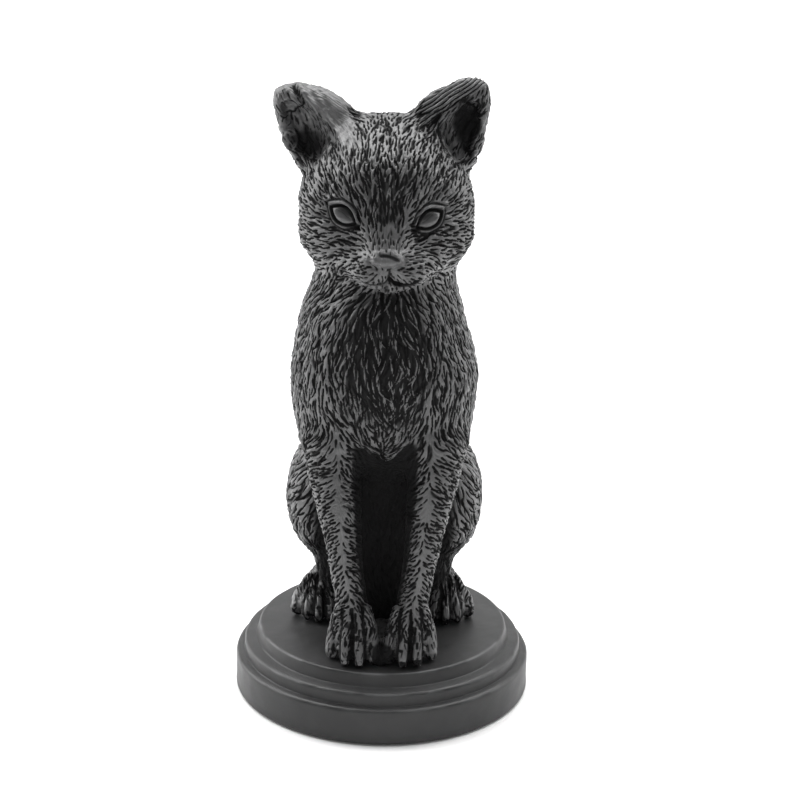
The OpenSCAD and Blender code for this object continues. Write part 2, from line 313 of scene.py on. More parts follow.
def body_groups():
    """(limbs, blend) for each mass of the cat, in the order they are added."""
    groups = [(stack(TORSO), 0)]
    groups += [(chain(sided(SHOULDER, side), 1), 7) for side in (1, -1)]
    groups.append((chain(BIB, 2), 8))
    groups += [(chain(leaning(pair), 1), 5) for pair in HEAD]
    groups.append((chain(leaning(BRIDGE), 2), 4))
    for side in (1, -1):
        pad = sided(MUZZLE, side) + (MUZZLE_TURN, 0, 0, 0, 0, 0)
        groups.append((chain(leaning(pad), 1), 3.0))
    groups += [(chain(leaning(CHIN), 1), 2.0), (chain(leaning(NOSE), 1), 1.0)]
    groups += [(chain(ear), 2.5) for ear in (LEFT_EAR, RIGHT_EAR)]
    groups.append((chain(WEB, 2), 1.5))
    for side in (1, -1):
        groups.append((stack(sided(FORELEG, side)), 5))
        groups.append((toe_limbs(FORE_PAW, side), TOE_BLEND))
        groups += [(chain(sided(pair, side), 1), 5) for pair in HAUNCH]
        groups += [(chain(sided(pair, side), 1), 2.5) for pair in HIND_FOOT]
        groups.append((toe_limbs(HIND_PAW, side), TOE_BLEND))
    return groups


def hollow_groups():
    return [(chain(concha, 2), 1.0) for concha in (LEFT_CONCHA, RIGHT_CONCHA)]


FAR = 30.0                                      # a distance outside every mass


def limb_distance(p, a, b):
    """Distance to an ellipsoid that is swept, and reshaped, from station a to station b."""
    axis = b[:3] - a[:3]
    t = np.clip((p - a[:3]) @ axis / max(float(axis @ axis), 1e-9), 0, 1)[:, None]
    return shell_distance(p - (a[:3] + t * axis), a[3:] + t * (b[3:] - a[3:]))


def shell_distance(q, r):
    """Nearly the distance from q to the ellipsoid of radii r about the origin."""
    k0 = np.linalg.norm(q / r, axis=1)
    k1 = np.linalg.norm(q / (r * r), axis=1)
    return k0 * (k0 - 1) / np.maximum(k1, 1e-6)


def stack_distance(p, s):
    z = np.clip(p[:, 2], s[0, 2], s[-1, 2])
    centre = np.stack([np.interp(z, s[:, 2], s[:, i]) for i in range(3)], axis=1)
    radii = np.stack([np.interp(z, s[:, 2], s[:, i]) for i in range(3, 6)], axis=1)
    return shell_distance(p - centre, radii)


def group_distance(p, limbs, reach):
    out = np.full(len(p), FAR)
    if isinstance(limbs, np.ndarray):
        low = (limbs[:, :3] - limbs[:, 3:]).min(axis=0) - reach
        high = (limbs[:, :3] + limbs[:, 3:]).max(axis=0) + reach
        near = np.nonzero(((p > low) & (p < high)).all(axis=1))[0]
        out[near] = stack_distance(p[near], limbs)
        return out
    for a, b in limbs:
        low = np.minimum(a[:3] - a[3:], b[:3] - b[3:]) - reach
        high = np.maximum(a[:3] + a[3:], b[:3] + b[3:]) + reach
        near = np.nonzero(((p > low) & (p < high)).all(axis=1))[0]
        if len(near):
            out[near] = np.minimum(out[near], limb_distance(p[near], a, b))
    return out


def smooth_min(a, b, k):
    if k <= 0:
        return np.minimum(a, b)
    h = np.maximum(k - np.abs(a - b), 0) / k
    return np.minimum(a, b) - h * h * k / 4


def cat_distance(p, groups, hollows=()):
    field = np.full(len(p), FAR)
    for limbs, k in groups:
        field = smooth_min(field, group_distance(p, limbs, k + 3), k)
    for limbs, k in hollows:
        field = -smooth_min(-field, group_distance(p, limbs, k + 3), k)
    return field


# ---------------------------------------------------------------- mesh kit


def clay_mesh(groups):
    """One loose lump per limb, as a mesh."""
    heap = bmesh.new()
    lump_mesh = bpy.data.meshes.new("lump")
    for limbs, _ in groups:
        pairs = zip(limbs[:-1], limbs[1:]) if isinstance(limbs, np.ndarray) else limbs
        for a, b in pairs:
            lump = bmesh.new()
            for s in (a, b):
                place = Matrix.Translation(Vector(s[:3])) @ Matrix.Diagonal((*s[3:], 1))
                bmesh.ops.create_icosphere(lump, subdivisions=3, radius=1, matrix=place)
            hull = bmesh.ops.convex_hull(lump, input=lump.verts[:])
            junk = {g for g in hull["geom_interior"] + hull["geom_unused"]
                    if isinstance(g, bmesh.types.BMVert) and g.is_valid}
            bmesh.ops.delete(lump, geom=list(junk), context="VERTS")
            lump.to_mesh(lump_mesh)
            lump.free()
            heap.from_mesh(lump_mesh)
    heap.to_mesh(lump_mesh)
    heap.free()
    return lump_mesh


def remeshed(mesh, step):
    """The mesh as one even skin of the given step."""
    lump = bpy.data.objects.new("lump", mesh)
    bpy.context.scene.collection.objects.link(lump)
    knead = lump.modifiers.new("knead", "REMESH")
    knead.mode = "VOXEL"
    knead.voxel_size = step
    knead.use_smooth_shade = True
    graph = bpy.context.evaluated_depsgraph_get()
    out = bpy.data.meshes.new_from_object(lump.evaluated_get(graph))
    bpy.data.objects.remove(lump)
    bpy.data.meshes.remove(mesh)
    return out


def coords(mesh):
    flat = np.empty(len(mesh.vertices) * 3, np.float32)
    mesh.vertices.foreach_get("co", flat)
    return flat.reshape(-1, 3).astype(np.float64)


def set_coords(mesh, p):
    mesh.vertices.foreach_set("co", p.astype(np.float32).ravel())
    mesh.update()


def normals(mesh):
    flat = np.empty(len(mesh.vertices) * 3, np.float32)
    mesh.vertex_normals.foreach_get("vector", flat)
    return flat.reshape(-1, 3).astype(np.float64)


def relax(mesh, rounds):
    """Evens the mesh out without changing its faces."""
    bm = bmesh.new()
    bm.from_mesh(mesh)
    for _ in range(rounds):
        bmesh.ops.smooth_vert(bm, verts=bm.verts, factor=0.5,
                              use_axis_x=True, use_axis_y=True, use_axis_z=True)
    bm.to_mesh(mesh)
    bm.free()
    mesh.update()


def settle(mesh, groups, hollows, rounds, most):
    """Moves every vertex onto the surface of the masses."""
    for _ in range(rounds):
        p = coords(mesh)
        away = np.clip(cat_distance(p, groups, hollows), -most, most)
        set_coords(mesh, p - normals(mesh) * away[:, None])


def skin_of(groups, hollows, step):
    """An even closed mesh on the surface of the masses, in the clay's millimetres."""
    rough = remeshed(clay_mesh(groups), 4 * step)
    relax(rough, 2)
    settle(rough, groups, hollows, 4, 2 * step + 0.8)
    fine = remeshed(rough, step)
    relax(fine, 1)
    settle(fine, groups, hollows, 2, 2 * step)
    return fine


# ---------------------------------------------------------------- noise and flow


def value_noise(p, size, seed=0):
    """Smooth noise from -1 to 1 with lumps of the given size."""
    q = p / size + 137.0
    cell = np.floor(q).astype(np.int64)
    f = q - cell
    f = f * f * (3 - 2 * f)
    total = np.zeros(len(p))
    for corner in range(8):
        step = np.array((corner & 1, corner >> 1 & 1, corner >> 2 & 1))
        c = cell + step
        h = (c[:, 0] * 374761393 + c[:, 1] * 668265263 + c[:, 2] * 2147483647 + seed * 974711)
        h = (h ^ (h >> 13)) * 1274126177
        h = ((h ^ (h >> 16)) & 0xFFFF) / 32767.5 - 1
        w = np.where(step, f, 1 - f).prod(axis=1)
        total += w * h
    return total


def unit(v):
    v = np.array(v, float)
    return v / np.linalg.norm(v)


def bump(d, width):
    """1 where d is 0, fading away on both sides."""
    return np.exp(-(d / width) ** 2)


def step_up(x, low, high):
    """0 below low, 1 above high, eased between."""
    t = np.clip((x - low) / (high - low), 0, 1)
    return t * t * (3 - 2 * t)


def ball(p, centre, radii):
    """1 at the centre, falling to 0 at the radii."""
    return np.clip(1 - np.linalg.norm((p - np.array(centre)) / np.array(radii), axis=1), 0, 1)


def thigh_mask(p):
    return np.clip(sum(2 * ball(p, (side * 27, 6, 40), (16, 26, 34)) for side in (1, -1)), 0, 1)


BATCH = 60000                                   # vertices worked on at a time

# Where the hair lies: a place on the +X half of the cat and the way the hair tips point
HEAD_LAY = [
    ((0, -32, 118), (0, 0.2, 1)), ((0, -26, 123), (0, 0.3, 1)), ((0, -22, 129), (0, 0.2, 1)),
    ((5, -20, 134), (0.3, 0.5, 0.9)), ((12, -17, 136), (0.45, 0.5, 0.85)),
    ((0, -18, 139), (0.0, 0.7, 0.9)), ((0, -8, 148), (0, 1, 0.3)), ((9, -8, 146), (0.35, 0.9, 0.4)),
    ((0, 8, 146), (0, 1, -0.6)), ((0, 16, 132), (0, 0.2, -1)), ((14, 10, 132), (0.2, 0.5, -0.8)),
    ((0, 14, 118), (0, 0.2, -1)), ((17, -12, 134), (0.6, 0.6, 0.7)), ((20, -8, 128), (0.5, 0.9, 0.2)),
    ((21, -8, 120), (0.5, 1, -0.15)), ((14, -20, 120), (1, 0.6, -0.1)), ((18, -15, 114), (0.9, 0.7, -0.3)),
    ((8, -25, 121), (0.9, 0.5, 0.1)), ((7, -30, 115), (0.9, 0.5, -0.15)), ((10, -26, 112), (0.9, 0.5, -0.5)),
    ((0, -30, 109), (0.2, 0.2, -1)), ((6, -26, 107), (0.6, 0.4, -0.8)), ((20, 0, 114), (0.3, 0.9, -0.5)),
    ((16, 8, 112), (0.1, 0.6, -0.9)), ((13, -18, 107), (0.6, 0.3, -1)),
]
BODY_LAY = [
    ((0, -22, 103), (0, -0.2, -1)), ((8, -22, 102), (0.35, 0, -1)), ((15, -14, 102), (0.55, 0.1, -1)),
    ((18, -4, 104), (0.3, 0.4, -1)), ((0, -26, 92), (0.1, 0, -1)), ((8, -25, 90), (0.25, 0, -1)),
    ((6, -27, 82), (-0.12, 0, -1)), ((0, -26, 78), (0.05, 0, -1)), ((13, -22, 78), (-0.15, 0, -1)),
    ((0, -17, 57), (0.05, 0, -1)), ((2.5, -18, 60), (-0.05, 0, -1)),
    ((10, -21, 68), (-0.35, 0, -1)), ((0, -22, 70), (-0.05, 0, -1)), ((3, -22, 66), (-0.1, 0, -1)),
    ((0, -20, 62), (0.05, 0.2, -1)), ((19, -16, 88), (0.15, 0.1, -1)),
    ((23, -8, 84), (0.1, 0.25, -1)), ((22, -12, 68), (-0.1, 0.25, -1)), ((24, 4, 80), (0, 0.45, -1)),
    ((18, 14, 86), (0, 0.3, -1)), ((0, 18, 92), (0, 0.2, -1)), ((0, 21, 75), (0, 0.2, -1)),
    ((0, 27, 50), (0, 0, -1)), ((0, 28, 25), (0.2, 0, -1)), ((14, 24, 60), (0.1, 0.3, -1)),
    ((0, -9, 40), (0, 0, -1)), ((0, -8, 15), (0, 0, -1)),
]
FORELEG_LAY = [
    ((11.5, -28, 56), (0, 0, -1)), ((18.5, -20, 58), (0.45, 0.5, -0.85)), ((7, -20, 56), (-0.6, 0.5, -0.8)),
    ((11.0, -27, 42), (0, 0, -1)), ((16, -19, 42), (0.55, 0.5, -0.8)), ((6.6, -20, 42), (-0.6, 0.5, -0.8)),
    ((9.6, -27, 28), (0, 0, -1)), ((14, -21, 28), (0.55, 0.4, -0.8)), ((5.4, -22, 28), (-0.55, 0.4, -0.8)),
    ((11, -14, 45), (0, 0.3, -1)), ((10, -16, 25), (0, 0.2, -1)), ((8, -28, 15), (0, -0.2, -1)),
    ((8, -33, 5), (0, -0.6, -0.8)), ((13, -26, 12), (0.3, -0.2, -1)),
]
HIND_LAY = [
    ((22, -5, 49), (0.6, 0.4, -0.7)), ((25, -4, 38), (0.55, 0.4, -0.8)), ((28, 8, 50), (0, 0.5, -0.85)),
    ((26, 0, 30), (0.25, 0.3, -0.9)),
    ((26, 16, 40), (0, 0.3, -1)), ((20, 24, 30), (-0.1, 0.3, -1)), ((22, 6, 64), (0.5, 0.4, -0.8)),
    ((20, -6, 44), (0.2, 0.2, -1)), ((19, 18, 8), (0, -0.7, -0.5)), ((19, -2, 8), (0, -0.6, -0.8)),
    ((24, 6, 8), (0.1, -0.9, -0.3)), ((20, -2, 20), (0, 0, -1)),
]
EAR_LAY = [
    ((16, 5, 144), (0.35, 0.1, 1)), ((24, 3, 150), (0.4, 0.1, 1)), ((11, 2, 150), (0.5, 0.1, 0.9)),
    ((27, 0, 146), (0.2, 0.1, 1)), ((17, -5, 143), (0.5, 0, 1)), ((21, -3, 149), (0.4, 0, 1)),
    ((10, -5, 151), (0.9, 0, 0.5)), ((16, -4, 156), (0.9, 0, 0.45)), ((25, -3, 152), (-0.5, 0, -0.9)),
    ((25, -3, 144), (-0.6, 0, -0.8)),
]
TAIL_LAY = [
    ((0, 30, 27), (-0.5, 0.2, -1)), ((-7, 33, 13), (-0.1, 0, -1)), ((-2, 33, 4), (1, 0, -0.1)),
    ((5, 33, 4), (1, -0.1, 0)), ((17, 26, 3), (0.9, -0.5, 0)), ((-8, 33, 7), (0.5, 0, -0.8)),
]


def lay_guides(tables):
    """Places and unit directions for both sides, from (table, leans with the head, paired)."""
    spots, ways = [], []
    for table, leans, paired in tables:
        for spot, way in table:
            for side in ((1, -1) if paired and spot[0] > 0.5 else (1,)):
                s = np.array(spot, float) * (side, 1, 1)
                w = np.array(way, float) * (side, 1, 1)
                spots.append(tilt([s])[0] if leans else s)
                ways.append(w / np.linalg.norm(w))
    return np.array(spots), np.array(ways)


def shin_line(z):
    """How far the middle of a foreleg's front stands from the cat's middle plane."""
    return np.interp(z, (12, 32, 60), (8.3, 10.9, 13.2))


def comb_shins(p, out):
    """On the forelegs the hair parts along the shin and runs down to both sides."""
    x, y, z = p.T
    much = step_up(-y, 12, 15) * (1 - step_up(z, 56, 66)) * step_up(z, 9, 16)
    parting = np.tanh((np.abs(x) - shin_line(z)) / 1.3) * np.sign(x)
    want = np.stack((1.15 * parting, 0.2 + 0 * x, -0.8 + 0 * x), axis=1)
    want /= np.linalg.norm(want, axis=1, keepdims=True)
    out += much[:, None] * (want - out)


def unit_rows(v):
    return v / np.maximum(np.linalg.norm(v, axis=1, keepdims=True), 1e-9)


def flow_at(p, n, guides, wander):
    """The way the hair lies at each point, along the surface."""
    spots, ways = guides
    out = np.zeros_like(p)
    for start in range(0, len(p), BATCH):
        part = p[start:start + BATCH]
        d2 = ((part[:, None, :] - spots[None]) ** 2).sum(axis=2)
        w = 1 / (d2 + 6.0) ** 2.2
        out[start:start + BATCH] = w @ ways
    out = unit_rows(out)
    comb_shins(p, out)
    across = np.cross(n, out)
    calm = 1 - 0.55 * step_up(p[:, 2], 108, 116) - 0.5 * thigh_mask(p)
    swirl = 0.62 * value_noise(p, 7.0, 3) + 0.5 * value_noise(p, 3.2, 4)
    turn = (wander * calm * swirl)[:, None]
    out = unit_rows(out) + unit_rows(across) * turn
    out -= n * (out * n).sum(axis=1, keepdims=True)
    return unit_rows(out)


# ---------------------------------------------------------------- strokes


STRIDE = 0.36                                   # one step of a stroke's walk
MOST_ROOTS = 170000                             # vertices that strokes may start from


def stroke_roots(tree, p, pick, along, across, flow, rng):
    """Roots spaced by their own ellipses, long along the hair and narrow across it."""
    order = rng.permutation(pick)
    gone = np.zeros(len(p), bool)
    wanted = np.zeros(len(p), bool)
    wanted[pick] = True
    roots = []
    for i in order:
        if gone[i]:
            continue
        roots.append(i)
        found = tree.find_range(p[i], along[i])
        near = np.fromiter((f[1] for f in found), int, len(found))
        offset = p[near] - p[i]
        t = offset @ flow[i]
        side2 = np.maximum((offset ** 2).sum(axis=1) - t * t, 0)
        gone[near[(t / along[i]) ** 2 + side2 / across[i] ** 2 < 1]] = True
    return np.array(roots)


def stroke_paths(tree, p, n, flow, roots, length, bend, rng):
    """Each stroke walks down the flow from its root and stays on the surface."""
    count = int(math.ceil(length.max() / STRIDE)) + 1
    spot = p[roots].copy()
    here = roots.copy()
    yaw = rng.normal(0, 0.08, len(roots))
    curl = rng.normal(0, 1, len(roots)) * bend
    paths = [spot.copy()]
    for _ in range(count - 1):
        way = flow[here] + np.cross(n[here], flow[here]) * yaw[:, None]
        yaw = yaw + curl
        spot = spot + unit_rows(way) * STRIDE
        here = np.fromiter((tree.find(s)[1] for s in spot), int, len(spot))
        gap = ((spot - p[here]) * n[here]).sum(axis=1, keepdims=True)
        spot = spot - n[here] * gap
        paths.append(spot.copy())
    return np.array(paths)


def carve(p, paths, length, width, depth, profile):
    """The most that any stroke takes off each vertex."""
    cut = np.zeros(len(p))
    reach = float(width.max()) + STRIDE
    cell = reach * 1.01
    base = p.min(axis=0) - 3 * cell
    spots = np.floor((p - base) / cell).astype(np.int64)
    span = spots.max(axis=0) + 4
    key = (spots[:, 0] * span[1] + spots[:, 1]) * span[2] + spots[:, 2]
    order = np.argsort(key, kind="stable")
    sorted_key = key[order]
    for i in range(len(paths) - 1):
        s0, s1 = paths[i], paths[i + 1]
        live = np.nonzero(i * STRIDE < length)[0]
        if not len(live):
            break
        a, seg = s0[live], s1[live] - s0[live]
        along0 = i * STRIDE / length[live]
        along1 = (i + 1) * STRIDE / length[live]
        mid = np.floor((a + seg / 2 - base) / cell).astype(np.int64)
        for dx in (-1, 0, 1):
            for dy in (-1, 0, 1):
                k = ((mid[:, 0] + dx) * span[1] + mid[:, 1] + dy) * span[2] + mid[:, 2]
                first = np.searchsorted(sorted_key, k - 1, "left")
                last = np.searchsorted(sorted_key, k + 1, "right")
                count = last - first
                if count.sum() == 0:
                    continue
                which = np.repeat(np.arange(len(live)), count)
                offset = np.arange(count.sum()) - np.repeat(np.cumsum(count) - count, count)
                v = order[first[which] + offset]
                q = p[v] - a[which]
                sg = seg[which]
                t = np.clip((q * sg).sum(axis=1) / (STRIDE * STRIDE), 0, 1)
                d = np.linalg.norm(q - sg * t[:, None], axis=1)
                u = along0[which] + (along1[which] - along0[which]) * t
                w = width[live][which] * profile(u)
                hit = d < w
                if hit.any():
                    amount = (depth[live][which] * np.minimum(profile(u) * 1.4, 1))[hit] \
                        * (1 - (d[hit] / w[hit]) ** 2) ** 1.3
                    np.maximum.at(cut, v[hit], amount)
    return cut


def tapered(u):
    """Opens quickly at the root and runs out to a point."""
    u = np.clip(u, 0, 1)
    return np.clip(np.minimum(u * 5 + 0.25, 1) * np.sqrt(np.maximum(1 - u, 0)) * 1.08, 0.02, 1)


def lens(u):
    """Widest in the middle, running out to both ends."""
    u = np.clip(u, 0, 1)
    return np.clip(np.sin(np.pi * u) ** 0.7, 0.02, 1)


# ---------------------------------------------------------------- carved features
# Each takes vertices p and changes, per vertex: lift (off the surface), gloss (smooth, shiny
# clay), bare (1 where no fur is cut) and the painted shade (1 where shade is painted darkest).
# A ridge or groove is its height times bump(how far off its middle line, its half width).


def eye_frame(side):
    """Unit directions out of the head, outwards along the eye's opening and up across it."""
    out = unit((side * 0.42, -0.90, 0.12))
    outer = np.array((side * 0.90, 0.36, 0.40))
    outer = unit(outer - out * (outer @ out))
    above = np.cross(outer, out) * side
    return out, outer, above if above[2] > 0 else -above


def past_opening(u, v):
    """How far outside the almond edge of the eye's opening a vertex lies."""
    half, top, low = 4.15, 2.3, 2.15
    over = v / top + (np.abs(u) / half) ** 2 - 1
    under = -v / low + (np.abs(u) / half) ** 2.3 - 1
    slope = np.sqrt((2 * u / half ** 2) ** 2 + (1 / np.where(v > 0, top, low)) ** 2)
    return np.maximum(over, under) / slope


def carve_eye(p, side, lift, gloss, bare, pool_and_shade):
    """Eyeball, lids, brow fold and tear duct, with shade painted into their grooves."""
    out, outer, above = eye_frame(side)
    rel = p - EYES[side]
    near = np.nonzero((np.linalg.norm(rel, axis=1) < 11) & (rel @ out > -7))[0]
    u, v = rel[near] @ outer, rel[near] @ above
    s = past_opening(u, v)
    upper = step_up(v, -0.5, 1.2)
    lower = 1 - upper
    # socket, then the ball with the groove round it
    globe = np.clip(1 - (u / 4.6) ** 2 - (v / 2.9) ** 2, 0, 1)
    d = -1.05 * bump(np.hypot(u / 1.35, v), 4.2)
    d += step_up(-s, -0.1, 0.5) * (1.35 * globe - 0.35)
    d -= (0.62 + 0.15 * upper) * bump(s - 0.05, 0.30)
    # lids, with a fold over the upper one and a groove under the lower one
    d += (0.38 + 0.38 * upper) * bump(s - 0.72 - 0.15 * upper, 0.36 + 0.12 * upper)
    d += upper * (-0.32 * bump(s - 1.6, 0.3) + 0.40 * bump(s - 2.2, 0.5))
    d -= lower * 0.38 * bump(s - 1.25, 0.35)
    # tear duct
    duct = np.hypot(u + 4.8, (v + 0.7) * 1.2)
    d -= 0.85 * bump(duct, 0.9) + 0.45 * bump(np.hypot(u + 6.0, v + 1.6), 0.9)
    # the upper lid runs on outwards
    run_out = np.abs(v - 1.3 + 0.10 * (u - 4.2))
    d += 0.45 * bump(run_out, 0.5) * step_up(u, 3.6, 4.8) * (1 - step_up(u, 7.5, 9.5))
    d -= 0.40 * bump(run_out - 1.05, 0.4) * step_up(u, 3.6, 4.8) * (1 - step_up(u, 7.5, 9.5))
    lift[near] += d
    gloss[near] = np.maximum(gloss[near], step_up(-s, -0.15, 0.25))
    bare[near] = np.maximum(bare[near], 1 - step_up(s, 1.0, 1.9))
    # Painted shade in the groove round the ball, the folds by the lids, the tear duct and under the upper
    # lid.
    groove = 0.22 + 0.5 * lower + 0.35 * step_up(u, -1.0, 2.5)
    shade = step_up(-s, -0.1, 0.3) * (0.05 + 0.13 * step_up(v, -0.7, 1.4))
    pool_and_shade[near] = np.maximum.reduce((
        pool_and_shade[near], groove * bump(s - 0.05, 0.38), 0.30 * upper * bump(s - 1.6, 0.3),
        0.30 * lower * bump(s - 1.25, 0.35), 0.6 * bump(duct, 1.1), shade))


def carve_nose(x, y, z, d):
    """Nose leather with nostrils and a crease over it; returns the leather and the crease."""
    nx = x - 0.2
    leather = np.hypot(nx / 4.2, (z - 116.7) / 1.8)
    tip = step_up(-y, 27, 29)
    crease = tip * bump(z - 118.5 + 0.07 * nx * nx + 0.15 * nx, 0.45) \
        * (1 - step_up(np.abs(nx - 0.4), 1.6, 3.6))
    d -= 0.32 * crease
    d -= 0.25 * tip * bump(leather - 1.15, 0.14) * (z < 117.5)
    d -= 0.70 * tip * bump(np.hypot((np.abs(nx) - 2.7) / 1.1, (z - 115.9) / 0.55), 1)
    return tip * (1 - step_up(leather, 0.9, 1.5)), crease


def carve_mouth(x, z, front, d):
    """A short cleft, the lips' line and the whisker spots; returns the cleft and the line."""
    below = step_up(z, 110.8, 111.8) * (1 - step_up(z, 114.4, 115.2))
    d -= 0.22 * front * bump(x, 0.42) * below
    # the line sinks to each side of the cleft and rises again; it is deep on the +X side only
    ax = np.abs(x)
    line = 109.9 + 0.085 * (ax - 3.8) ** 2 + 0.7 * np.exp(-ax ** 2)
    mouth = bump(z - line, 0.42) * (1 - step_up(ax, 6.6, 8.6)) * front
    d -= np.where(x > 0, 1.0, 0.22) * mouth
    d += 0.35 * bump(z - line + 1.1, 0.55) * (1 - step_up(ax, 4.5, 7.5)) * front
    for row in range(3):
        for col in range(4):
            sx, sz = 4.0 + 1.7 * col + 0.35 * row, 114.9 - 1.35 * row + 0.10 * col
            d -= 0.38 * front * bump(np.hypot((ax - sx) / 1.3, z - sz), 0.42)
    return front * bump(x, 0.35) * below, mouth


def carve_face(p, lift, gloss, bare, pool_and_shade):
    """Eyes, nose, mouth and the hollow between the brows."""
    for side in (1, -1):
        carve_eye(p, side, lift, gloss, bare, pool_and_shade)
    head = np.nonzero((p[:, 2] > 100) & (p[:, 1] < -20))[0]
    x, y, z = p[head].T
    d = np.zeros(len(head))
    front = step_up(-y, 22, 26)
    on_nose, crease = carve_nose(x, y, z, d)
    mx = x - MOUTH_X
    cleft, mouth = carve_mouth(mx, z, front, d)
    d -= 0.35 * bump(np.hypot((x + 0.2) / 4.0, (z - 131) / 7.0), 1)     # between the brows
    lift[head] += d
    # the bridge and the whisker pads are nearly plain
    bridge = np.hypot((x - 0.2) / (5.6 - 0.28 * (z - 117)), np.maximum(z - 121.5, 0) / 4.2)
    plain = 0.62 * (1 - step_up(bridge, 0.6, 1.1)) * step_up(z, 117, 118.5) * step_up(-y, 17, 20)
    pads = front * (1 - step_up(np.hypot(mx / 9.5, (z - 112.8) / 4.6), 0.7, 1.1))
    bare[head] = np.maximum.reduce((bare[head], plain, on_nose, 0.9 * mouth, 0.15 * pads))
    gloss[head] = np.maximum(gloss[head], 0.35 * on_nose)
    # Painted shade in the mouth's line, deepest on the +X side, the nose's crease and the cleft.
    pool_and_shade[head] = np.maximum.reduce((pool_and_shade[head], np.where(mx > 0, 1.0, 0.25) * mouth,
                                    0.45 * crease, 0.3 * cleft))


def ridge_hollows(q, lift, bare):
    """Faint ridges in both ears' hollows, and the doubled edge low on their outsides."""
    x, y, z = q.T
    for side, middle in ((1, 19.0), (-1, -23.0)):
        inner = np.clip(3 * ball(q, (middle, -4.5, 146), (10, 6.5, 13)), 0, 1) * (side * x > 6)
        lift += 0.20 * np.sin((side * x - 0.55 * z) * 2.1 + 1.5 * value_noise(q, 5, 11)) * inner
        np.maximum(bare, 0.5 * inner, out=bare)
    for px, pz, depth in ((-26.4, 141.8, 1.0), (23.6, 141.5, 0.6)):
        pocket = np.hypot(x - px, (z - pz) / 1.5)
        lift += depth * (0.8 * bump(pocket - 1.5, 0.45) - 0.9 * bump(pocket, 0.8)) * (y < -0.5)


def smooth_right_ear(q, lift, bare):
    """A broad smooth rim above the right ear's hollow, and wrinkled skin inside it."""
    x, y, z = q.T
    front = step_up(-y, -1.5, 0.5)
    over = 0.73 * (x + 21.7) + 0.68 * (z - 152)
    rim = step_up(over, 0, 1.0) * step_up(-x, 7, 10) * step_up(z, 140, 143) * front
    lift += (0.55 * bump(over - 1.0, 0.9) - 0.5 * bump(over + 0.7, 0.7)) \
        * step_up(-x, 9, 12) * front * (1 - step_up(-x, 25, 29))
    lift += rim * (0.10 * value_noise(q, 1.1, 18) + 0.12 * value_noise(q, 2.6, 19))
    skin = step_up(-x, 13, 17) * step_up(z, 137, 142) * (y < 1)
    lift += skin * (0.16 * value_noise(q, 1.6, 15) + 0.13 * value_noise(q, 0.8, 16))
    np.maximum.reduce((bare, 0.92 * rim, 0.75 * skin), out=bare)


def comb_left_ear(q, lift, bare, pool_and_shade):
    """A rim of combed ridges above the left ear's hollow."""
    x, y, z = q.T
    over = -0.549 * (x - 10.9) + 0.836 * (z - 146.8)
    rim = step_up(over, 0.3, 1.5) * step_up(x, 5, 9) * step_up(z, 144, 147) * step_up(-y, -1.5, 0.5)
    comb = np.sin(over * 7.4 + 2.2 * value_noise(q * (0.4, 1, 0.8), 2.0, 20))
    lift += rim * (0.24 * comb + 0.35 * bump(over - 3.2, 1.6))
    np.maximum(bare, 0.85 * rim, out=bare)
    # Painted shade in the troughs between the combed ridges.
    np.maximum(pool_and_shade, 0.5 * rim * step_up(-comb, 0.45, 1.0), out=pool_and_shade)


def carve_ears(p, lift, gloss, bare, pool_and_shade):
    """Both ears' rims and hollows, with shade painted into the hollows."""
    ears = np.nonzero(p[:, 2] > 130)[0]
    q, up, plain, dark = p[ears], lift[ears], bare[ears], pool_and_shade[ears]
    ridge_hollows(q, up, plain)
    smooth_right_ear(q, up, plain)
    comb_left_ear(q, up, plain, dark)
    ragged = 0.16 * value_noise(q * (1, 1, 0.5), 1.3, 54) + 0.12 * value_noise(q, 3.0, 57)
    # Painted shade, patchy, deep in each ear's hollow.
    for centre, radii, much in (((20.6, -3, 146.6), (5.6, 7, 10.5), 0.40),
                                ((-22.0, -3, 141.0), (6.2, 7, 6.4), 0.26)):
        deep = step_up(ball(q, centre, radii) + ragged, 0.08, 0.70) * (q[:, 1] < 0)
        dark = np.maximum(dark, much * deep)
    lift[ears], bare[ears], pool_and_shade[ears] = up, plain, dark


def carve_paws(p, lift, gloss, bare, pool_and_shade):
    """Claws, toes left plain, the clefts between them and small pits in the clay, with shade painted into
    the clefts and pits.
    """
    low = np.nonzero(p[:, 2] < 16)[0]
    q, up, plain, dark = p[low], lift[low], bare[low], pool_and_shade[low]
    x, y, z = q.T
    for paw in (FORE_PAW, HIND_PAW):
        tips, end, spread = paw["tips"], paw["cleft_end"], paw["spread"]
        for tip_x, tip_y in tips:
            for side in (1, -1):
                claw = np.linalg.norm((q - (side * tip_x, tip_y + 0.15, 2.0)) / (1, 1, 0.8), axis=1)
                up -= 0.55 * bump(claw, 0.75)
                toe = ball(q, (side * tip_x, tip_y + 2.5, 4), (3, 5, 7.5))
                plain = np.maximum(plain, np.clip(1.8 * toe, 0, 0.8))
        for (ax, ay), (bx, by) in zip(tips[:-1], tips[1:]):
            mid_x, mid_y = (ax + bx) / 2, (ay + by) / 2
            t = np.clip((y - mid_y) / (end - mid_y), 0, 1)
            line = (1 - t) * mid_x + t * (spread * mid_x + (1 - spread) * paw["heel"][0])
            cleft = bump(np.abs(x) - line + 0.25 * value_noise(q, 2.5, 55), 0.62 - 0.30 * t) \
                * step_up(end + 2.5 - y, 0, 5) * (np.abs(y - mid_y) < abs(end - mid_y) + 3)
            up -= 0.50 * cleft
            # Painted shade in the clefts between the toes.
            dark = np.maximum(dark, paw["cleft_shade"] * cleft)
    pits = step_up(value_noise(q, 1.1, 53), 0.25, 0.6) * (1 - step_up(z, 10, 14)) * (y < 4)
    up -= 0.36 * pits
    # Painted shade in the pits.
    dark = np.maximum(dark, 0.35 * pits)
    lift[low], bare[low], pool_and_shade[low] = up, plain, dark


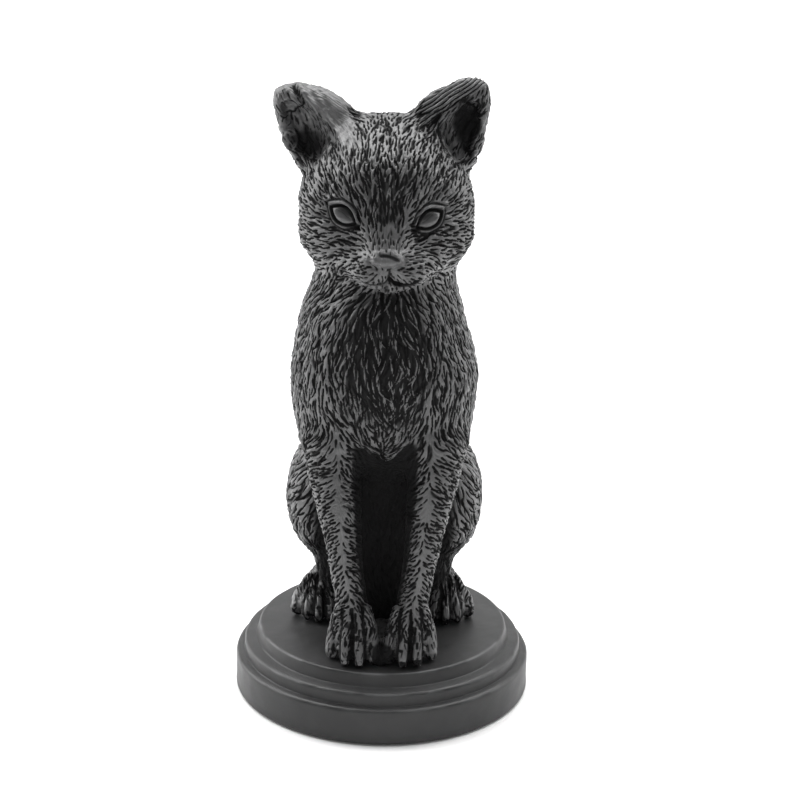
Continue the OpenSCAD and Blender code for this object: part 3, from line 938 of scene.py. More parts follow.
def smooth_shins(p, lift, gloss, bare, pool_and_shade):
    """The front of each foreleg is left nearly smooth, in patches."""
    x, y, z = p.T
    shin = bump(np.abs(x) - shin_line(z), 1.5) * (y < -18)
    shin = shin * step_up(z, 30, 44) * (1 - step_up(z, 60, 68))
    shin = shin * step_up(value_noise(p, 4.0, 17), -0.5, 0.1)
    bare[:] = np.maximum(bare, 0.9 * shin)


def carve_and_shade_recesses(p, lift, gloss, bare, pool_and_shade):
    """Carves a crease under the bib's point; paints shade between the forelegs below it, at the web between
    the front paws and behind the shins.
    """
    x, y, z = p.T
    ax = np.abs(x - 0.3)
    above_point = z - 56.8 - 0.72 * ax + 1.7 * value_noise(p, 2.2, 56)
    lift += (0.9 * bump(above_point - 1.2, 1.5) - 0.9 * bump(above_point + 1.6, 1.6)) \
        * (1 - step_up(ax, 5.5, 8.5)) * (y < -4) * (np.abs(above_point) < 6)
    between = (1 - step_up(ax, 5.5, 10.0)) * step_up(y, -26, -21.5) * (y < 4)
    inside = between * (1 - step_up(above_point, -2.4, 0.8))
    web = (1 - step_up(ax, 1.6, 3.2)) * (1 - step_up(z, 3.5, 7)) * (y < -8)
    ankle = (1 - step_up(np.abs(x), 16.5, 21.5)) * (np.abs(x) > 8) \
        * (1 - step_up(z, 42, 53)) * (y > -14) * (y < 10) * step_up(z, 7, 14)
    # Painted shade between the forelegs, at the web and behind the shins.
    pool_and_shade[:] = np.maximum.reduce((pool_and_shade, 0.9 * inside, 0.9 * web, 0.45 * ankle))
    bare[:] = np.maximum(bare, 0.5 * inside)


# ---------------------------------------------------------------- fur


def brow_mask(p, ragged):
    """1 in the dark V that opens upwards from between the eyes."""
    x, y, z = p.T
    wide = 1.5 + 0.62 * np.clip(z - 124.5, 0, 20)
    away = np.hypot(x / wide, np.maximum(z - 134, 0) / 5) + 2 * ragged
    return (1 - step_up(away, 0.55, 1.15)) * step_up(z, 124.5, 127) * step_up(-y, 13, 17)


def stroke_fields(p):
    """How each vertex scales the strokes' length, width, depth and spacing, and where locks lie."""
    head = step_up(p[:, 2], 108, 114)
    ragged = 0.10 * value_noise(p, 6.0, 51) + 0.06 * value_noise(p, 2.0, 52)
    chest = step_up(ball(p, (0, -27, 88), (22, 18, 30)) + ragged, 0.08, 0.62) * (1 - head)
    # The brow's V gets the chest's longer hair and its painted shade.
    chest = np.maximum(chest, 0.62 * brow_mask(p, ragged))
    leg = (1 - step_up(p[:, 2], 52, 62)) * step_up(-p[:, 1], 10, 13)
    thigh = thigh_mask(p)
    muzzle = np.clip(2 * ball(p, (0, -32, 114), (13, 9, 10)), 0, 1)
    length = 1 - 0.12 * head + 0.65 * chest - 0.32 * leg + 0.55 * thigh * (1 - leg)
    length = length * (1 - 0.45 * muzzle)
    width = 1 - 0.05 * head - 0.05 * leg - 0.12 * chest
    depth = 1 - 0.05 * head - 0.05 * leg - 0.15 * chest - 0.30 * muzzle
    spacing = 1 - 0.10 * head - 0.12 * leg - 0.10 * chest + 0.05 * thigh
    return length, width, depth, spacing, chest


def carve_fur(p, n, flow, bare, s, rng):
    """Depths of the fine strokes, the broad locks and the raised hairs at each vertex."""
    length, width, depth, gap, chest = stroke_fields(p)
    length = length * s.stroke_length / CLAY
    width = width * s.stroke_width / CLAY
    depth = depth * s.fur_depth / CLAY
    tree = kdtree.KDTree(len(p))
    for i, co in enumerate(p):
        tree.insert(co, i)
    tree.balance()

    def strokes(pick, along, across, usual, vary, bend):
        """Roots, own lengths and paths of one layer."""
        roots = stroke_roots(tree, p, pick, along, across, flow, rng)
        own = usual[roots] * rng.uniform(*vary, len(roots))
        return roots, own, stroke_paths(tree, p, n, flow, roots, own, bend, rng)

    pick = rng.choice(len(p), min(len(p), MOST_ROOTS), replace=False)
    pick = pick[rng.random(len(pick)) > bare[pick] * 1.15]
    # short fine strokes
    roots, own, paths = strokes(pick, 0.66 * length, 0.82 * gap, length, (0.65, 1.3), 0.045)
    fine = carve(p, paths, own, width[roots] * rng.uniform(0.75, 1.2, len(roots)),
                 depth[roots] * rng.uniform(0.65, 1.2, len(roots)) * (1 - 0.8 * bare[roots]),
                 tapered)
    # long shallow locks under them
    pick = pick[rng.random(len(pick)) < 0.5]
    roots, own, paths = strokes(pick, 1.3 * length, 2.9 * gap, 1.9 * length, (0.8, 1.25), 0.03)
    broad = carve(p, paths, own, 2.3 * width[roots], 0.85 * depth[roots] * (1 - bare[roots]), lens)
    # raised hairs between them, close together on the chest
    roots, own, paths = strokes(pick, 0.8 * length, (1.55 - 0.62 * chest) * gap,
                                (1.1 + 0.25 * chest) * length, (0.7, 1.25), 0.03)
    raised = carve(p, paths, own, (0.95 - 0.14 * chest[roots]) * width[roots],
                   (0.50 + 0.30 * chest[roots]) * depth[roots] * (1 - bare[roots]), lens)
    return fine, broad, raised, chest


def finish_skin(mesh, tables, s, seed, features):
    """Carves the features and the fur and stores what the glaze reads."""
    p, n = coords(mesh), normals(mesh)
    lift, gloss, bare, pool_and_shade = np.zeros((4, len(p)))
    for feature in features:
        feature(p, lift, gloss, bare, pool_and_shade)
    p = p + n * lift[:, None]
    set_coords(mesh, p)
    n = normals(mesh)
    flow = flow_at(p, n, lay_guides(tables), 0.55)
    rng = np.random.default_rng(seed)
    fine, broad, raised, chest = carve_fur(p, n, flow, bare, s, rng)
    depth = s.fur_depth / CLAY
    lumps = 0.16 * value_noise(p, 4.5, 21) + 0.07 * value_noise(p, 1.7, 22)
    off = lumps * (1 - bare) - fine - broad + raised * (1 - np.clip(fine / depth, 0, 1))
    set_coords(mesh, p + n * off[:, None])
    # Painted shade: dark in the cut strokes, over the chest and in the brow's V, and wherever the features
    # painted shade; the raised hairs are left light.
    hollow = fine / depth + 0.35 * broad / depth + (0.32 * chest - raised / depth) * (1 - bare)
    hollow = np.maximum(np.clip(hollow, 0, 1), pool_and_shade)
    for name, kind, values in (("hollow", "FLOAT", hollow), ("gloss", "FLOAT", gloss)):
        layer = mesh.attributes.new(name, kind, "POINT")
        layer.data.foreach_set("value", values.astype(np.float32))
    layer = mesh.attributes.new("lay", "FLOAT_VECTOR", "POINT")
    layer.data.foreach_set("vector", flow.astype(np.float32).ravel())


# ---------------------------------------------------------------- cutting into castings


def part_at(bm, point, way):
    """Splits a closed bmesh at a plane into (front, back), both closed; bm is used up."""
    halves = []
    for keep in (1, -1):
        half = bm.copy() if keep == 1 else bm
        geom = half.verts[:] + half.edges[:] + half.faces[:]
        bmesh.ops.bisect_plane(half, geom=geom, dist=1e-5, plane_co=point, plane_no=way,
                               clear_inner=keep == 1, clear_outer=keep == -1)
        rim = [e for e in half.edges if e.is_boundary]
        if rim:
            made = bmesh.ops.holes_fill(half, edges=rim, sides=0)["faces"]
            for face in made:
                face.smooth = False
            bmesh.ops.triangulate(half, faces=made, quad_method="BEAUTY", ngon_method="BEAUTY")
        halves.append(half)
    return halves


def piece_from(bm, name, material, node):
    """A finished piece in metres, riding on the one body."""
    mesh = bpy.data.meshes.new(name)
    bm.to_mesh(mesh)
    bm.free()
    mesh.materials.append(material)
    piece = bpy.data.objects.new(name, mesh)
    bpy.context.scene.collection.objects.link(piece)
    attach(piece, BODY)
    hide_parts(node)


# ---------------------------------------------------------------- materials


def feed(tree, socket, value):
    """Links another node's output to a socket, or sets the socket to a constant."""
    if isinstance(value, bpy.types.NodeSocket):
        tree.links.new(value, socket)
    elif value is not None:
        socket.default_value = value


def tinted(colour, much=1.0):
    return tuple(much * x for x in colour) + (1,)


def group(name, inputs, outputs):
    """A new shader node group of (label, kind, value) inputs and (label, kind) outputs."""
    tree = bpy.data.node_groups.new(name, "ShaderNodeTree")
    for label, kind, value in inputs:
        socket = tree.interface.new_socket(label, in_out="INPUT", socket_type=kind)
        if value is not None:
            socket.default_value = value
    for label, kind in outputs:
        tree.interface.new_socket(label, in_out="OUTPUT", socket_type=kind)
    return tree, tree.nodes.new("NodeGroupInput"), tree.nodes.new("NodeGroupOutput")


def math_node(tree, kind, a, b=None, clamp=False):
    node = tree.nodes.new("ShaderNodeMath")
    node.operation = kind
    node.use_clamp = clamp
    feed(tree, node.inputs[0], a)
    feed(tree, node.inputs[1], b)
    return node.outputs[0]


def vector_node(tree, kind, a, b=None, scale=None):
    node = tree.nodes.new("ShaderNodeVectorMath")
    node.operation = kind
    feed(tree, node.inputs[0], a)
    feed(tree, node.inputs[1], b)
    if scale is not None:
        feed(tree, node.inputs["Scale"], scale)
    return node.outputs[0]


def noise_node(tree, vector, scale, detail=2.0, roughness=0.5):
    node = tree.nodes.new("ShaderNodeTexNoise")
    node.inputs["Detail"].default_value = detail
    node.inputs["Roughness"].default_value = roughness
    feed(tree, node.inputs["Scale"], scale)
    feed(tree, node.inputs["Vector"], vector)
    return node.outputs["Fac"]


def mix_colour(tree, fac, a, b):
    node = tree.nodes.new("ShaderNodeMix")
    node.data_type = "RGBA"
    for i, value in ((0, fac), (6, a), (7, b)):
        feed(tree, node.inputs[i], value)
    return node.outputs[2]


def ramp(tree, value, low, high, out_low=0.0, out_high=1.0):
    """Eases a value from low..high to out_low..out_high."""
    node = tree.nodes.new("ShaderNodeMapRange")
    node.interpolation_type = "SMOOTHSTEP"
    for label, number in (("Value", value), ("From Min", low), ("From Max", high),
                          ("To Min", out_low), ("To Max", out_high)):
        feed(tree, node.inputs[label], number)
    return node.outputs["Result"]


def bump_node(tree, height, distance, strength=1.0, normal=None):
    node = tree.nodes.new("ShaderNodeBump")
    for label, value in (("Distance", distance), ("Strength", strength), ("Height", height),
                         ("Normal", normal)):
        feed(tree, node.inputs[label], value)
    return node.outputs["Normal"]


def attribute(tree, name, output="Fac"):
    node = tree.nodes.new("ShaderNodeAttribute")
    node.attribute_name = name
    return node.outputs[output]


def object_place(tree):
    return tree.nodes.new("ShaderNodeTexCoord").outputs["Object"]


def needle_lines():
    """Fine lines along the lay of the fur, as a needle tool leaves them."""
    tree, start, end = group(
        "Needle lines",
        (("Lay", "NodeSocketVector", None), ("Scale", "NodeSocketFloat", 2300.0),
         ("Step", "NodeSocketFloat", 0.38 * MM)),
        (("Height", "NodeSocketFloat"),))
    place = object_place(tree)
    total = None
    reach = 3                                   # samples to each side along the lay
    for i in range(-reach, reach + 1):
        step = math_node(tree, "MULTIPLY", start.outputs["Step"], float(i))
        shift = vector_node(tree, "SCALE", start.outputs["Lay"], scale=step)
        spot = vector_node(tree, "ADD", place, shift)
        value = noise_node(tree, spot, start.outputs["Scale"], 0.0)
        total = value if total is None else math_node(tree, "ADD", total, value)
    height = math_node(tree, "MULTIPLY", total, 1 / (2 * reach + 1))
    feed(tree, end.inputs["Height"], ramp(tree, height, 0.36, 0.64))
    return tree


def glaze_pooling():
    """Where glaze runs thin or thick: a mask of slow patches with fine specks."""
    tree, start, end = group(
        "Glaze pooling",
        (("Patch scale", "NodeSocketFloat", 90.0), ("Speck scale", "NodeSocketFloat", 2600.0)),
        (("Patches", "NodeSocketFloat"), ("Specks", "NodeSocketFloat")))
    place = object_place(tree)
    for mask, size, detail, low, high in (("Patches", "Patch scale", 3.0, 0.35, 0.68),
                                          ("Specks", "Speck scale", 2.0, 0.62, 0.78)):
        noise = noise_node(tree, place, start.outputs[size], detail, 0.6)
        feed(tree, end.inputs[mask], ramp(tree, noise, low, high))
    return tree


def use_group(tree, name, maker, **values):
    """A node of the named group, which the maker makes the first time."""
    node = tree.nodes.new("ShaderNodeGroup")
    node.node_tree = bpy.data.node_groups.get(name) or maker()
    for label, value in values.items():
        feed(tree, node.inputs[label.replace("_", " ")], value)
    return node.outputs


def pooling(tree, **values):
    return use_group(tree, "Glaze pooling", glaze_pooling, **values)


def new_material(name):
    material = bpy.data.materials.new(name)
    material.use_nodes = True
    tree = material.node_tree
    return material, tree, tree.nodes["Principled BSDF"].inputs


def fur_glaze():
    """Black satin glaze, with shade painted into the strokes and hollows; the raised hair is lighter in
    patches and along the lay.
    """
    c = colours()
    material, tree, shader = new_material("Fur glaze")
    hollow, gloss = attribute(tree, "hollow"), attribute(tree, "gloss")
    lay = attribute(tree, "lay", "Vector")
    lines = use_group(tree, "Needle lines", needle_lines, Lay=lay)["Height"]
    pool_and_shade = pooling(tree)
    patchy_streaks = math_node(tree, "ADD", math_node(tree, "MULTIPLY", pool_and_shade["Patches"], 0.45),
                      math_node(tree, "MULTIPLY", lines, 0.55), clamp=True)
    raised = mix_colour(tree, patchy_streaks, tinted(c.glaze, 0.55), tinted(c.glaze, 1.25))
    raised = mix_colour(tree, gloss, raised, tinted(c.glaze, 0.75))
    # Painted shade: the colour goes towards the dark shade colour in the strokes, the recesses and over the
    # chest.
    sunk = ramp(tree, hollow, 0.02, 0.22)
    feed(tree, shader["Base Color"], mix_colour(tree, sunk, raised, tinted(c.hollow)))
    rough = math_node(tree, "ADD", ramp(tree, hollow, 0.0, 0.5, 0.30, 0.80),
                      math_node(tree, "MULTIPLY", pool_and_shade["Patches"], 0.10))
    rough = math_node(tree, "MULTIPLY", rough, ramp(tree, gloss, 0.2, 1.0, 1.0, 0.6))
    feed(tree, shader["Roughness"], rough)
    feed(tree, shader["IOR"], 1.52)
    feed(tree, shader["Specular IOR Level"], ramp(tree, hollow, 0.02, 0.35, 0.60, 0.10))
    calm = math_node(tree, "SUBTRACT", 1.0, gloss, clamp=True)
    normal = bump_node(tree, math_node(tree, "MULTIPLY", lines, calm), 0.11 * MM)
    feed(tree, shader["Normal"], bump_node(tree, pool_and_shade["Specks"], 0.03 * MM, 0.6, normal))
    return material


def plinth_glaze():
    """Smoother black satin with a fine grain and a painted highlight along the step edges."""
    c = colours()
    material, tree, shader = new_material("Plinth glaze")
    painted_edge_highlight = attribute(tree, "painted_edge_highlight")
    pool_and_shade = pooling(tree, Patch_scale=60.0, Speck_scale=3400.0)
    base = mix_colour(tree, pool_and_shade["Patches"], tinted(c.plinth, 0.8), tinted(c.plinth, 1.15))
    # Painted highlight: lighter colour along the step edges, in patches.
    patchy_edge_highlight = math_node(tree, "MULTIPLY", painted_edge_highlight, ramp(tree, pool_and_shade["Patches"], 0.0, 1.0, 0.25, 1.0))
    feed(tree, shader["Base Color"], mix_colour(tree, patchy_edge_highlight, base, tinted(c.plinth, 4.5)))
    rough = math_node(tree, "ADD", math_node(tree, "MULTIPLY", pool_and_shade["Patches"], 0.10), 0.38)
    feed(tree, shader["Roughness"], rough)
    feed(tree, shader["Specular IOR Level"], 0.36)
    grain = noise_node(tree, object_place(tree), 2400.0, 3.0, 0.6)
    normal = bump_node(tree, grain, 0.04 * MM, 0.7)
    feed(tree, shader["Normal"], bump_node(tree, pool_and_shade["Specks"], 0.05 * MM, 0.5, normal))
    return material


def rubber_material():
    """Dark rubber with a dusty bloom in patches."""
    c = colours()
    material, tree, shader = new_material("Stopper rubber")
    pool_and_shade = pooling(tree, Patch_scale=400.0, Speck_scale=5000.0)
    feed(tree, shader["Base Color"],
         mix_colour(tree, pool_and_shade["Patches"], tinted(c.rubber), tinted(c.rubber, 1.8)))
    feed(tree, shader["Roughness"], ramp(tree, pool_and_shade["Patches"], 0, 1, 0.55, 0.72))
    feed(tree, shader["Normal"], bump_node(tree, pool_and_shade["Specks"], 0.04 * MM, 0.5))
    return material


def felt_material():
    """Pressed felt: fibres of uneven shade with a soft sheen."""
    c = colours()
    material, tree, shader = new_material("Pad felt")
    fibre = noise_node(tree, object_place(tree), 3800.0, 4.0, 0.7)
    feed(tree, shader["Base Color"], mix_colour(tree, fibre, tinted(c.felt), tinted(c.felt, 2.6)))
    feed(tree, shader["Roughness"], 0.95)
    feed(tree, shader["Sheen Weight"], 0.4)
    feed(tree, shader["Normal"], bump_node(tree, fibre, 0.2 * MM, 0.8))
    return material


# ---------------------------------------------------------------- operators


def skin_step(s):
    step = s.mesh_step / CLAY
    return step


def carved_solid(groups, hollows, tables, s, seed, features):
    """The masses as a carved bmesh that ends level just above the plinth."""
    skin = skin_of(groups, hollows, skin_step(s))
    finish_skin(skin, tables, s, seed, features)
    bm = bmesh.new()
    bm.from_mesh(skin)
    bpy.data.meshes.remove(skin)
    for face in bm.faces:
        face.smooth = True
    bm, waste = part_at(bm, (0, 0, 0.02), UP)
    waste.free()
    return bm


def glaze_casting(bm, name, node):
    """A casting in the fur glaze, scaled from the clay's millimetres and set on the plinth."""
    bmesh.ops.transform(bm, matrix=Matrix.Translation((0, 0, SEAT_Z)) @ Matrix.Scale(CLAY, 4),
                        verts=bm.verts)
    glaze = bpy.data.materials.get("Fur glaze") or fur_glaze()
    piece_from(bm, name, glaze, node)


class FIGURINE_OT_castings(bpy.types.Operator):
    """Model, carve and cut the cat into its luted castings"""
    bl_idname = "figurine.castings"
    bl_label = "Cat castings"

    def execute(self, context):
        s = sizes()
        tables = ((HEAD_LAY, True, True), (BODY_LAY, False, True), (FORELEG_LAY, False, True),
                  (HIND_LAY, False, True), (EAR_LAY, True, True))
        features = (carve_face, carve_ears, carve_paws, smooth_shins, carve_and_shade_recesses)
        cat = carved_solid(body_groups(), hollow_groups(), tables, s, s.seed, features)
        neck_up = (0, -math.sin(NECK_TILT), math.cos(NECK_TILT))
        head, body = part_at(cat, NECK, neck_up)
        ears = []
        for side in (1, -1):
            ear, head = part_at(head, tilt([(side * 14.5, 0, 141.5)])[0], (side * 0.62, 0, 0.78))
            ears.append(ear)
        face, crown = part_at(head, (0, -2, 125), FORWARD)
        trunk, lower = part_at(body, (0, 0, 70.5), UP)
        chest, back = part_at(trunk, (0, -1, 80), FORWARD)
        legs, seat = part_at(lower, (0, -10.5, 40), FORWARD)
        left_fore, right_fore = part_at(legs, (0, 0, 30), LEFT)
        left_hind, seat = part_at(seat, (13.5, 0, 40), LEFT)
        right_hind, rump = part_at(seat, (-13.5, 0, 40), RIGHT)
        for bm, name, node in (
                (face, "head_face", "head"), (crown, "head_back", "head"),
                (ears[0], "left_ear_casting", "left_ear"),
                (ears[1], "right_ear_casting", "right_ear"),
                (chest, "torso_chest", "torso"), (back, "torso_back", "torso"),
                (rump, "torso_rump", "torso"),
                (left_fore, "left_foreleg_casting", "left_foreleg"),
                (right_fore, "right_foreleg_casting", "right_foreleg"),
                (left_hind, "left_hind_leg_casting", "left_hind_leg"),
                (right_hind, "right_hind_leg_casting", "right_hind_leg")):
            glaze_casting(bm, name, node)
        return {"FINISHED"}


class FIGURINE_OT_tail(bpy.types.Operator):
    """Model and carve the tail that lies round behind the rump"""
    bl_idname = "figurine.tail"
    bl_label = "Tail"

    def execute(self, context):
        s = sizes()
        tables = ((TAIL_LAY, False, False),)
        tail = carved_solid([(chain(TAIL), 0)], (), tables, s, s.seed + 1, ())
        glaze_casting(tail, "tail_casting", "tail")
        return {"FINISHED"}


def turned(profile, steps, matrix=None):
    """A closed solid of revolution from a profile of (radius, height), axis to axis."""
    bm = bmesh.new()
    verts = [bm.verts.new((r, 0, z)) for r, z in profile]
    edges = [bm.edges.new(pair) for pair in zip(verts[:-1], verts[1:])]
    bmesh.ops.spin(bm, geom=verts + edges, cent=(0, 0, 0), axis=UP, dvec=(0, 0, 0),
                   angle=2 * math.pi, steps=steps, use_merge=True, use_normal_flip=False,
                   use_duplicate=False)
    bmesh.ops.remove_doubles(bm, verts=bm.verts, dist=1e-6)
    bmesh.ops.recalc_face_normals(bm, faces=bm.faces)
    for face in bm.faces:
        face.smooth = True
    if matrix is not None:
        bmesh.ops.transform(bm, matrix=matrix, verts=bm.verts)
    return bm


def rounded(corners, step):
    """Profile points along straight runs and arcs; a corner is (r, z, fillet radius)."""
    pts = [np.array(c[:2]) for c in corners]
    out = [pts[0]]
    for i in range(1, len(pts) - 1):
        a, b, c = pts[i - 1], pts[i], pts[i + 1]
        u, v = unit(a - b), unit(c - b)
        half = math.acos(max(-1, min(1, float(u @ v)))) / 2
        fillet = corners[i][2]
        back = fillet / math.tan(half) if fillet else 0
        back = min(back, 0.48 * np.linalg.norm(a - b), 0.48 * np.linalg.norm(c - b))
        if back <= 0:
            out.append(b)
            continue
        first, last = b + u * back, b + v * back
        for t in np.linspace(0, 1, 7):
            out.append((1 - t) ** 2 * first + 2 * t * (1 - t) * b + t * t * last)
    out.append(pts[-1])
    fine = [out[0]]
    for a, b in zip(out[:-1], out[1:]):
        count = max(1, int(np.linalg.norm(b - a) / step))
        fine += [a + (b - a) * (k + 1) / count for k in range(count)]
    return [tuple(q) for q in fine]


class FIGURINE_OT_plinth(bpy.types.Operator):
    """Turn the stepped plinth and give it the wander of a casting"""
    bl_idname = "figurine.plinth"
    bl_label = "Plinth"

    def execute(self, context):
        low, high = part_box("plinth")
        foot, top, drum = low.z, high.z, high.x
        toes = max(-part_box("left_foreleg")[0].y, -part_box("right_foreleg")[0].y)
        disc, middle = toes + TOE_ROOM * MM, drum - STEP_WIDTH * MM
        disc_foot, drum_top = top - DISC_H * MM, foot + DRUM_H * MM
        inside, ceiling, vent = drum - RING_WALL * MM, foot + RECESS * MM, VENT_R * MM
        corners = [
            (vent, ceiling + VENT_DEPTH * MM, 0), (vent, ceiling, 0.3 * MM),
            (inside, ceiling, 0.3 * MM), (inside + 0.5 * MM, foot, 0.4 * MM),
            (drum, foot, 0.8 * MM), (drum, drum_top - 0.3 * MM, 1.7 * MM),
            (middle + 0.15 * MM, drum_top, 0.25 * MM), (middle, disc_foot - 0.2 * MM, 1.2 * MM),
            (disc + 0.9 * MM, disc_foot + 0.25 * MM, 0.5 * MM), (disc, top, 0.8 * MM),
            (0.0, top, 0),
        ]
        profile = [(0.0, ceiling + VENT_DEPTH * MM)] + rounded(corners, 0.5 * MM)
        bm = turned(profile, 300)
        self.uneven_with_edge_highlight(bm, foot / MM, ((drum / MM, drum_top / MM - 0.3),
                                     (middle / MM, disc_foot / MM - 0.2), (disc / MM, top / MM)))
        piece_from(bm, "plinth_casting", plinth_glaze(), "plinth")
        return {"FINISHED"}

    def uneven_with_edge_highlight(self, bm, foot, edges):
        """Makes the surface uneven and marks a painted highlight along the (radius, height) edges, in mm."""
        p = np.array([v.co for v in bm.verts]) / MM
        n = np.array([v.normal for v in bm.verts])
        off = sum(much * value_noise(p, size, seed) for much, size, seed in
                  ((1.5, 26, 30), (0.8, 11, 31), (0.5, 4, 32), (0.15, 1.2, 33)))
        off *= sizes().plinth_grain / MM
        reach = np.hypot(p[:, 0], p[:, 1])
        # Painted highlight along each step edge, in patches; the edges are also nicked a little.
        painted_edge_highlight = np.zeros(len(p))
        for r, z in edges:
            near = bump(np.hypot(reach - r, p[:, 2] - z), 0.42)
            near *= step_up(value_noise(p, 3.0, 35), -0.6, 0.3)
            painted_edge_highlight = np.maximum(painted_edge_highlight, near)
            off -= 0.10 * near * np.clip(value_noise(p, 2.2, 34) * 2, 0, 1)
        off *= step_up(p[:, 2], foot + 0.5, foot + 2.5)
        layer = bm.verts.layers.float.new("painted_edge_highlight")
        for v, way, amount, value in zip(bm.verts, n, off, painted_edge_highlight):
            v.co += Vector(way * amount * MM)
            v[layer] = value


class FIGURINE_OT_fittings(bpy.types.Operator):
    """Make the rubber stopper and the four felt pads under the plinth"""
    bl_idname = "figurine.fittings"
    bl_label = "Stopper and pads"

    def execute(self, context):
        self.stopper()
        self.pads()
        return {"FINISHED"}

    def stopper(self):
        low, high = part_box("vent_plug")
        flange, neck = high.x, STOPPER_NECK_R * MM
        rim, lip = low.z + FLANGE_H * MM, high.z - LIP_H * MM
        dimple = low.z + 0.35 * MM
        corners = [
            (0, dimple, 0), (flange * 0.45, dimple, 0.3 * MM), (flange * 0.55, low.z, 0.2 * MM),
            (flange, low.z, 0.3 * MM), (flange, rim, 0.2 * MM), (neck, rim, 0.1 * MM),
            (neck, lip, 0.1 * MM), (neck + 0.8 * MM, lip, 0.2 * MM),
            (neck - 1 * MM, high.z, 0.3 * MM), (0, high.z, 0),
        ]
        bm = turned(rounded(corners, 0.6 * MM), 96)
        piece_from(bm, "vent_stopper", rubber_material(), "vent_plug")

    def pads(self):
        low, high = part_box("felt_pads")
        pad_r = PAD_R * MM
        pitch = high.x - pad_r
        felt = felt_material()
        corners = [(0, low.z, 0), (pad_r, low.z, 0.35 * MM), (pad_r, high.z, 0.15 * MM),
                   (0, high.z, 0)]
        for i, (sx, sy) in enumerate(((1, 1), (-1, 1), (-1, -1), (1, -1))):
            place = Matrix.Translation((sx * pitch, sy * pitch, 0))
            bm = turned(rounded(corners, 0.35 * MM), 96, place)
            p = np.array([v.co for v in bm.verts]) / MM
            above = step_up(p[:, 2], low.z / MM + 0.02, low.z / MM + 0.3)
            for v, amount in zip(bm.verts, 0.05 * value_noise(p, 0.7, 41) * above):
                v.co += v.normal * amount * MM
            piece_from(bm, f"felt_pad_{i + 1}", felt, "felt_pads")


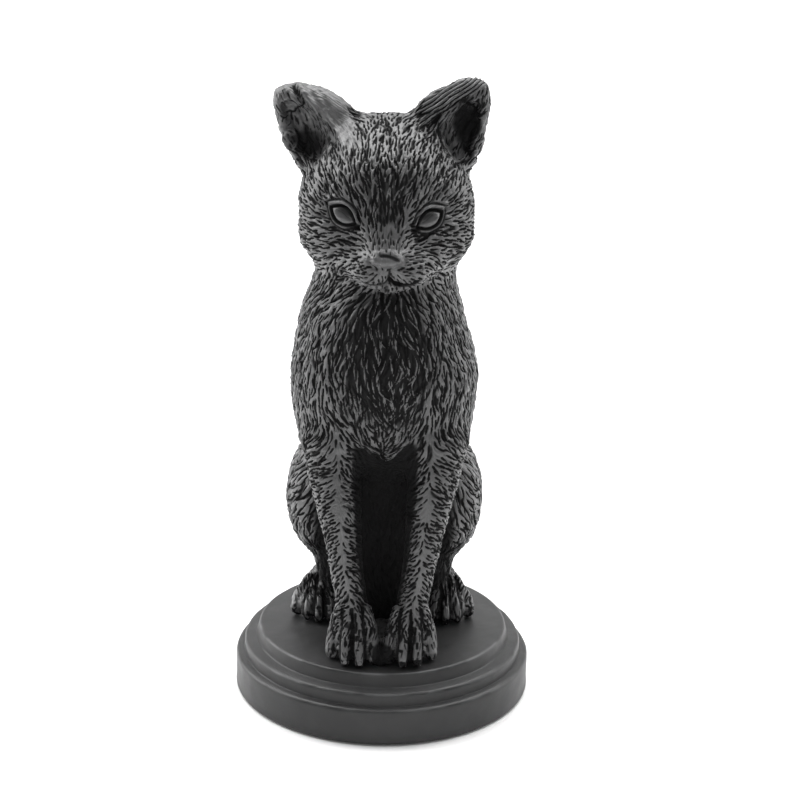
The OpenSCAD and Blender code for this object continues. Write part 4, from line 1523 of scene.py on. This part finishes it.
class FIGURINE_OT_stage(bpy.types.Operator):
    """Set the pale floor, the studio lights and the camera"""
    bl_idname = "figurine.stage"
    bl_label = "Stage"

    def execute(self, context):
        scene = context.scene
        self.floor(scene)
        self.lights(scene)
        self.room(scene)
        self.camera(scene)
        return {"FINISHED"}

    def floor(self, scene):
        """A flat floor that curves up into a backdrop, in metres."""
        half, bend, top = FLOOR_HALF, BACKDROP_BEND, BACKDROP_TOP
        sweep = [(-half, 0.0), (half, 0.0)]
        sweep += [(half + bend * math.sin(a), bend - bend * math.cos(a))
                  for a in np.linspace(0.1, math.pi / 2, 16)]
        sweep.append((half + bend, top))
        bm = bmesh.new()
        line = [bm.verts.new((-half, y, z)) for y, z in sweep]
        edges = [bm.edges.new(pair) for pair in zip(line[:-1], line[1:])]
        made = bmesh.ops.extrude_edge_only(bm, edges=edges)["geom"]
        across = [g for g in made if isinstance(g, bmesh.types.BMVert)]
        bmesh.ops.translate(bm, vec=(2 * half, 0, 0), verts=across)
        bmesh.ops.recalc_face_normals(bm, faces=bm.faces)
        for face in bm.faces:
            face.smooth = True
        mesh = bpy.data.meshes.new("floor")
        bm.to_mesh(mesh)
        bm.free()
        floor = bpy.data.objects.new("floor", mesh)
        scene.collection.objects.link(floor)
        material, tree, shader = new_material("Pale floor")
        feed(tree, shader["Base Color"], tinted(colours().floor))
        feed(tree, shader["Roughness"], 0.9)
        mesh.materials.append(material)

    def lights(self, scene):
        for name, place, size, power, aim in SOFTBOXES:
            light = bpy.data.lights.new(name, "AREA")
            light.shape = "RECTANGLE"
            light.size, light.size_y = size
            light.energy = power
            lamp = bpy.data.objects.new(name, light)
            lamp.location = place
            way = Vector(aim) - Vector(place)
            lamp.rotation_euler = way.to_track_quat("-Z", "Y").to_euler()
            scene.collection.objects.link(lamp)

    def room(self, scene):
        """A dim room that looks white to the camera."""
        world = bpy.data.worlds.new("Studio")
        world.use_nodes = True
        tree = world.node_tree
        seen = tree.nodes.new("ShaderNodeLightPath").outputs["Is Camera Ray"]
        background = tree.nodes["Background"].inputs
        feed(tree, background["Color"], (1, 1, 1, 1))
        feed(tree, background["Strength"], ramp(tree, seen, 0, 1, ROOM_LIGHT, 1.0))
        scene.world = world
        scene.view_settings.view_transform = "Standard"

    def camera(self, scene):
        camera = bpy.data.cameras.new("camera")
        camera.sensor_width = 36
        camera.lens = CAMERA_LENS
        camera.clip_start = 0.01
        seat = bpy.data.objects.new("camera", camera)
        seat.location = Vector(CAMERA_PLACE) * MM
        look = Matrix.Rotation(math.radians(90) - CAMERA_PITCH, 3, "X")
        look = look @ Matrix.Rotation(CAMERA_ROLL, 3, "Z")
        seat.rotation_euler = look.to_euler()
        scene.collection.objects.link(seat)
        scene.camera = seat


class FIGURINE_PT_build(bpy.types.Panel):
    """Shows the figurine's sizes, colours and build buttons in the sidebar"""
    bl_idname = "FIGURINE_PT_build"
    bl_label = "Seated cat figurine"
    bl_space_type = "VIEW_3D"
    bl_region_type = "UI"
    bl_category = "Figurine"

    def draw(self, context):
        layout = self.layout
        for group_of in (context.scene.figurine_sizes, context.scene.figurine_colours):
            for name in group_of.__annotations__:
                layout.prop(group_of, name)
        for operator in OPERATORS:
            layout.operator(operator.bl_idname)


OPERATORS = (FIGURINE_OT_plinth, FIGURINE_OT_fittings, FIGURINE_OT_castings, FIGURINE_OT_tail,
             FIGURINE_OT_stage)
CLASSES = (FigurineSizes, FigurineColours, *OPERATORS, FIGURINE_PT_build)


def register():
    for made in CLASSES:
        bpy.utils.register_class(made)
    bpy.types.Scene.figurine_sizes = PointerProperty(type=FigurineSizes)
    bpy.types.Scene.figurine_colours = PointerProperty(type=FigurineColours)


def unregister():
    del bpy.types.Scene.figurine_colours
    del bpy.types.Scene.figurine_sizes
    for made in reversed(CLASSES):
        bpy.utils.unregister_class(made)


def main():
    register()
    bpy.ops.figurine.plinth()
    bpy.ops.figurine.fittings()
    bpy.ops.figurine.castings()
    bpy.ops.figurine.tail()
    bpy.ops.figurine.stage()


if __name__ == "__main__":
    main()
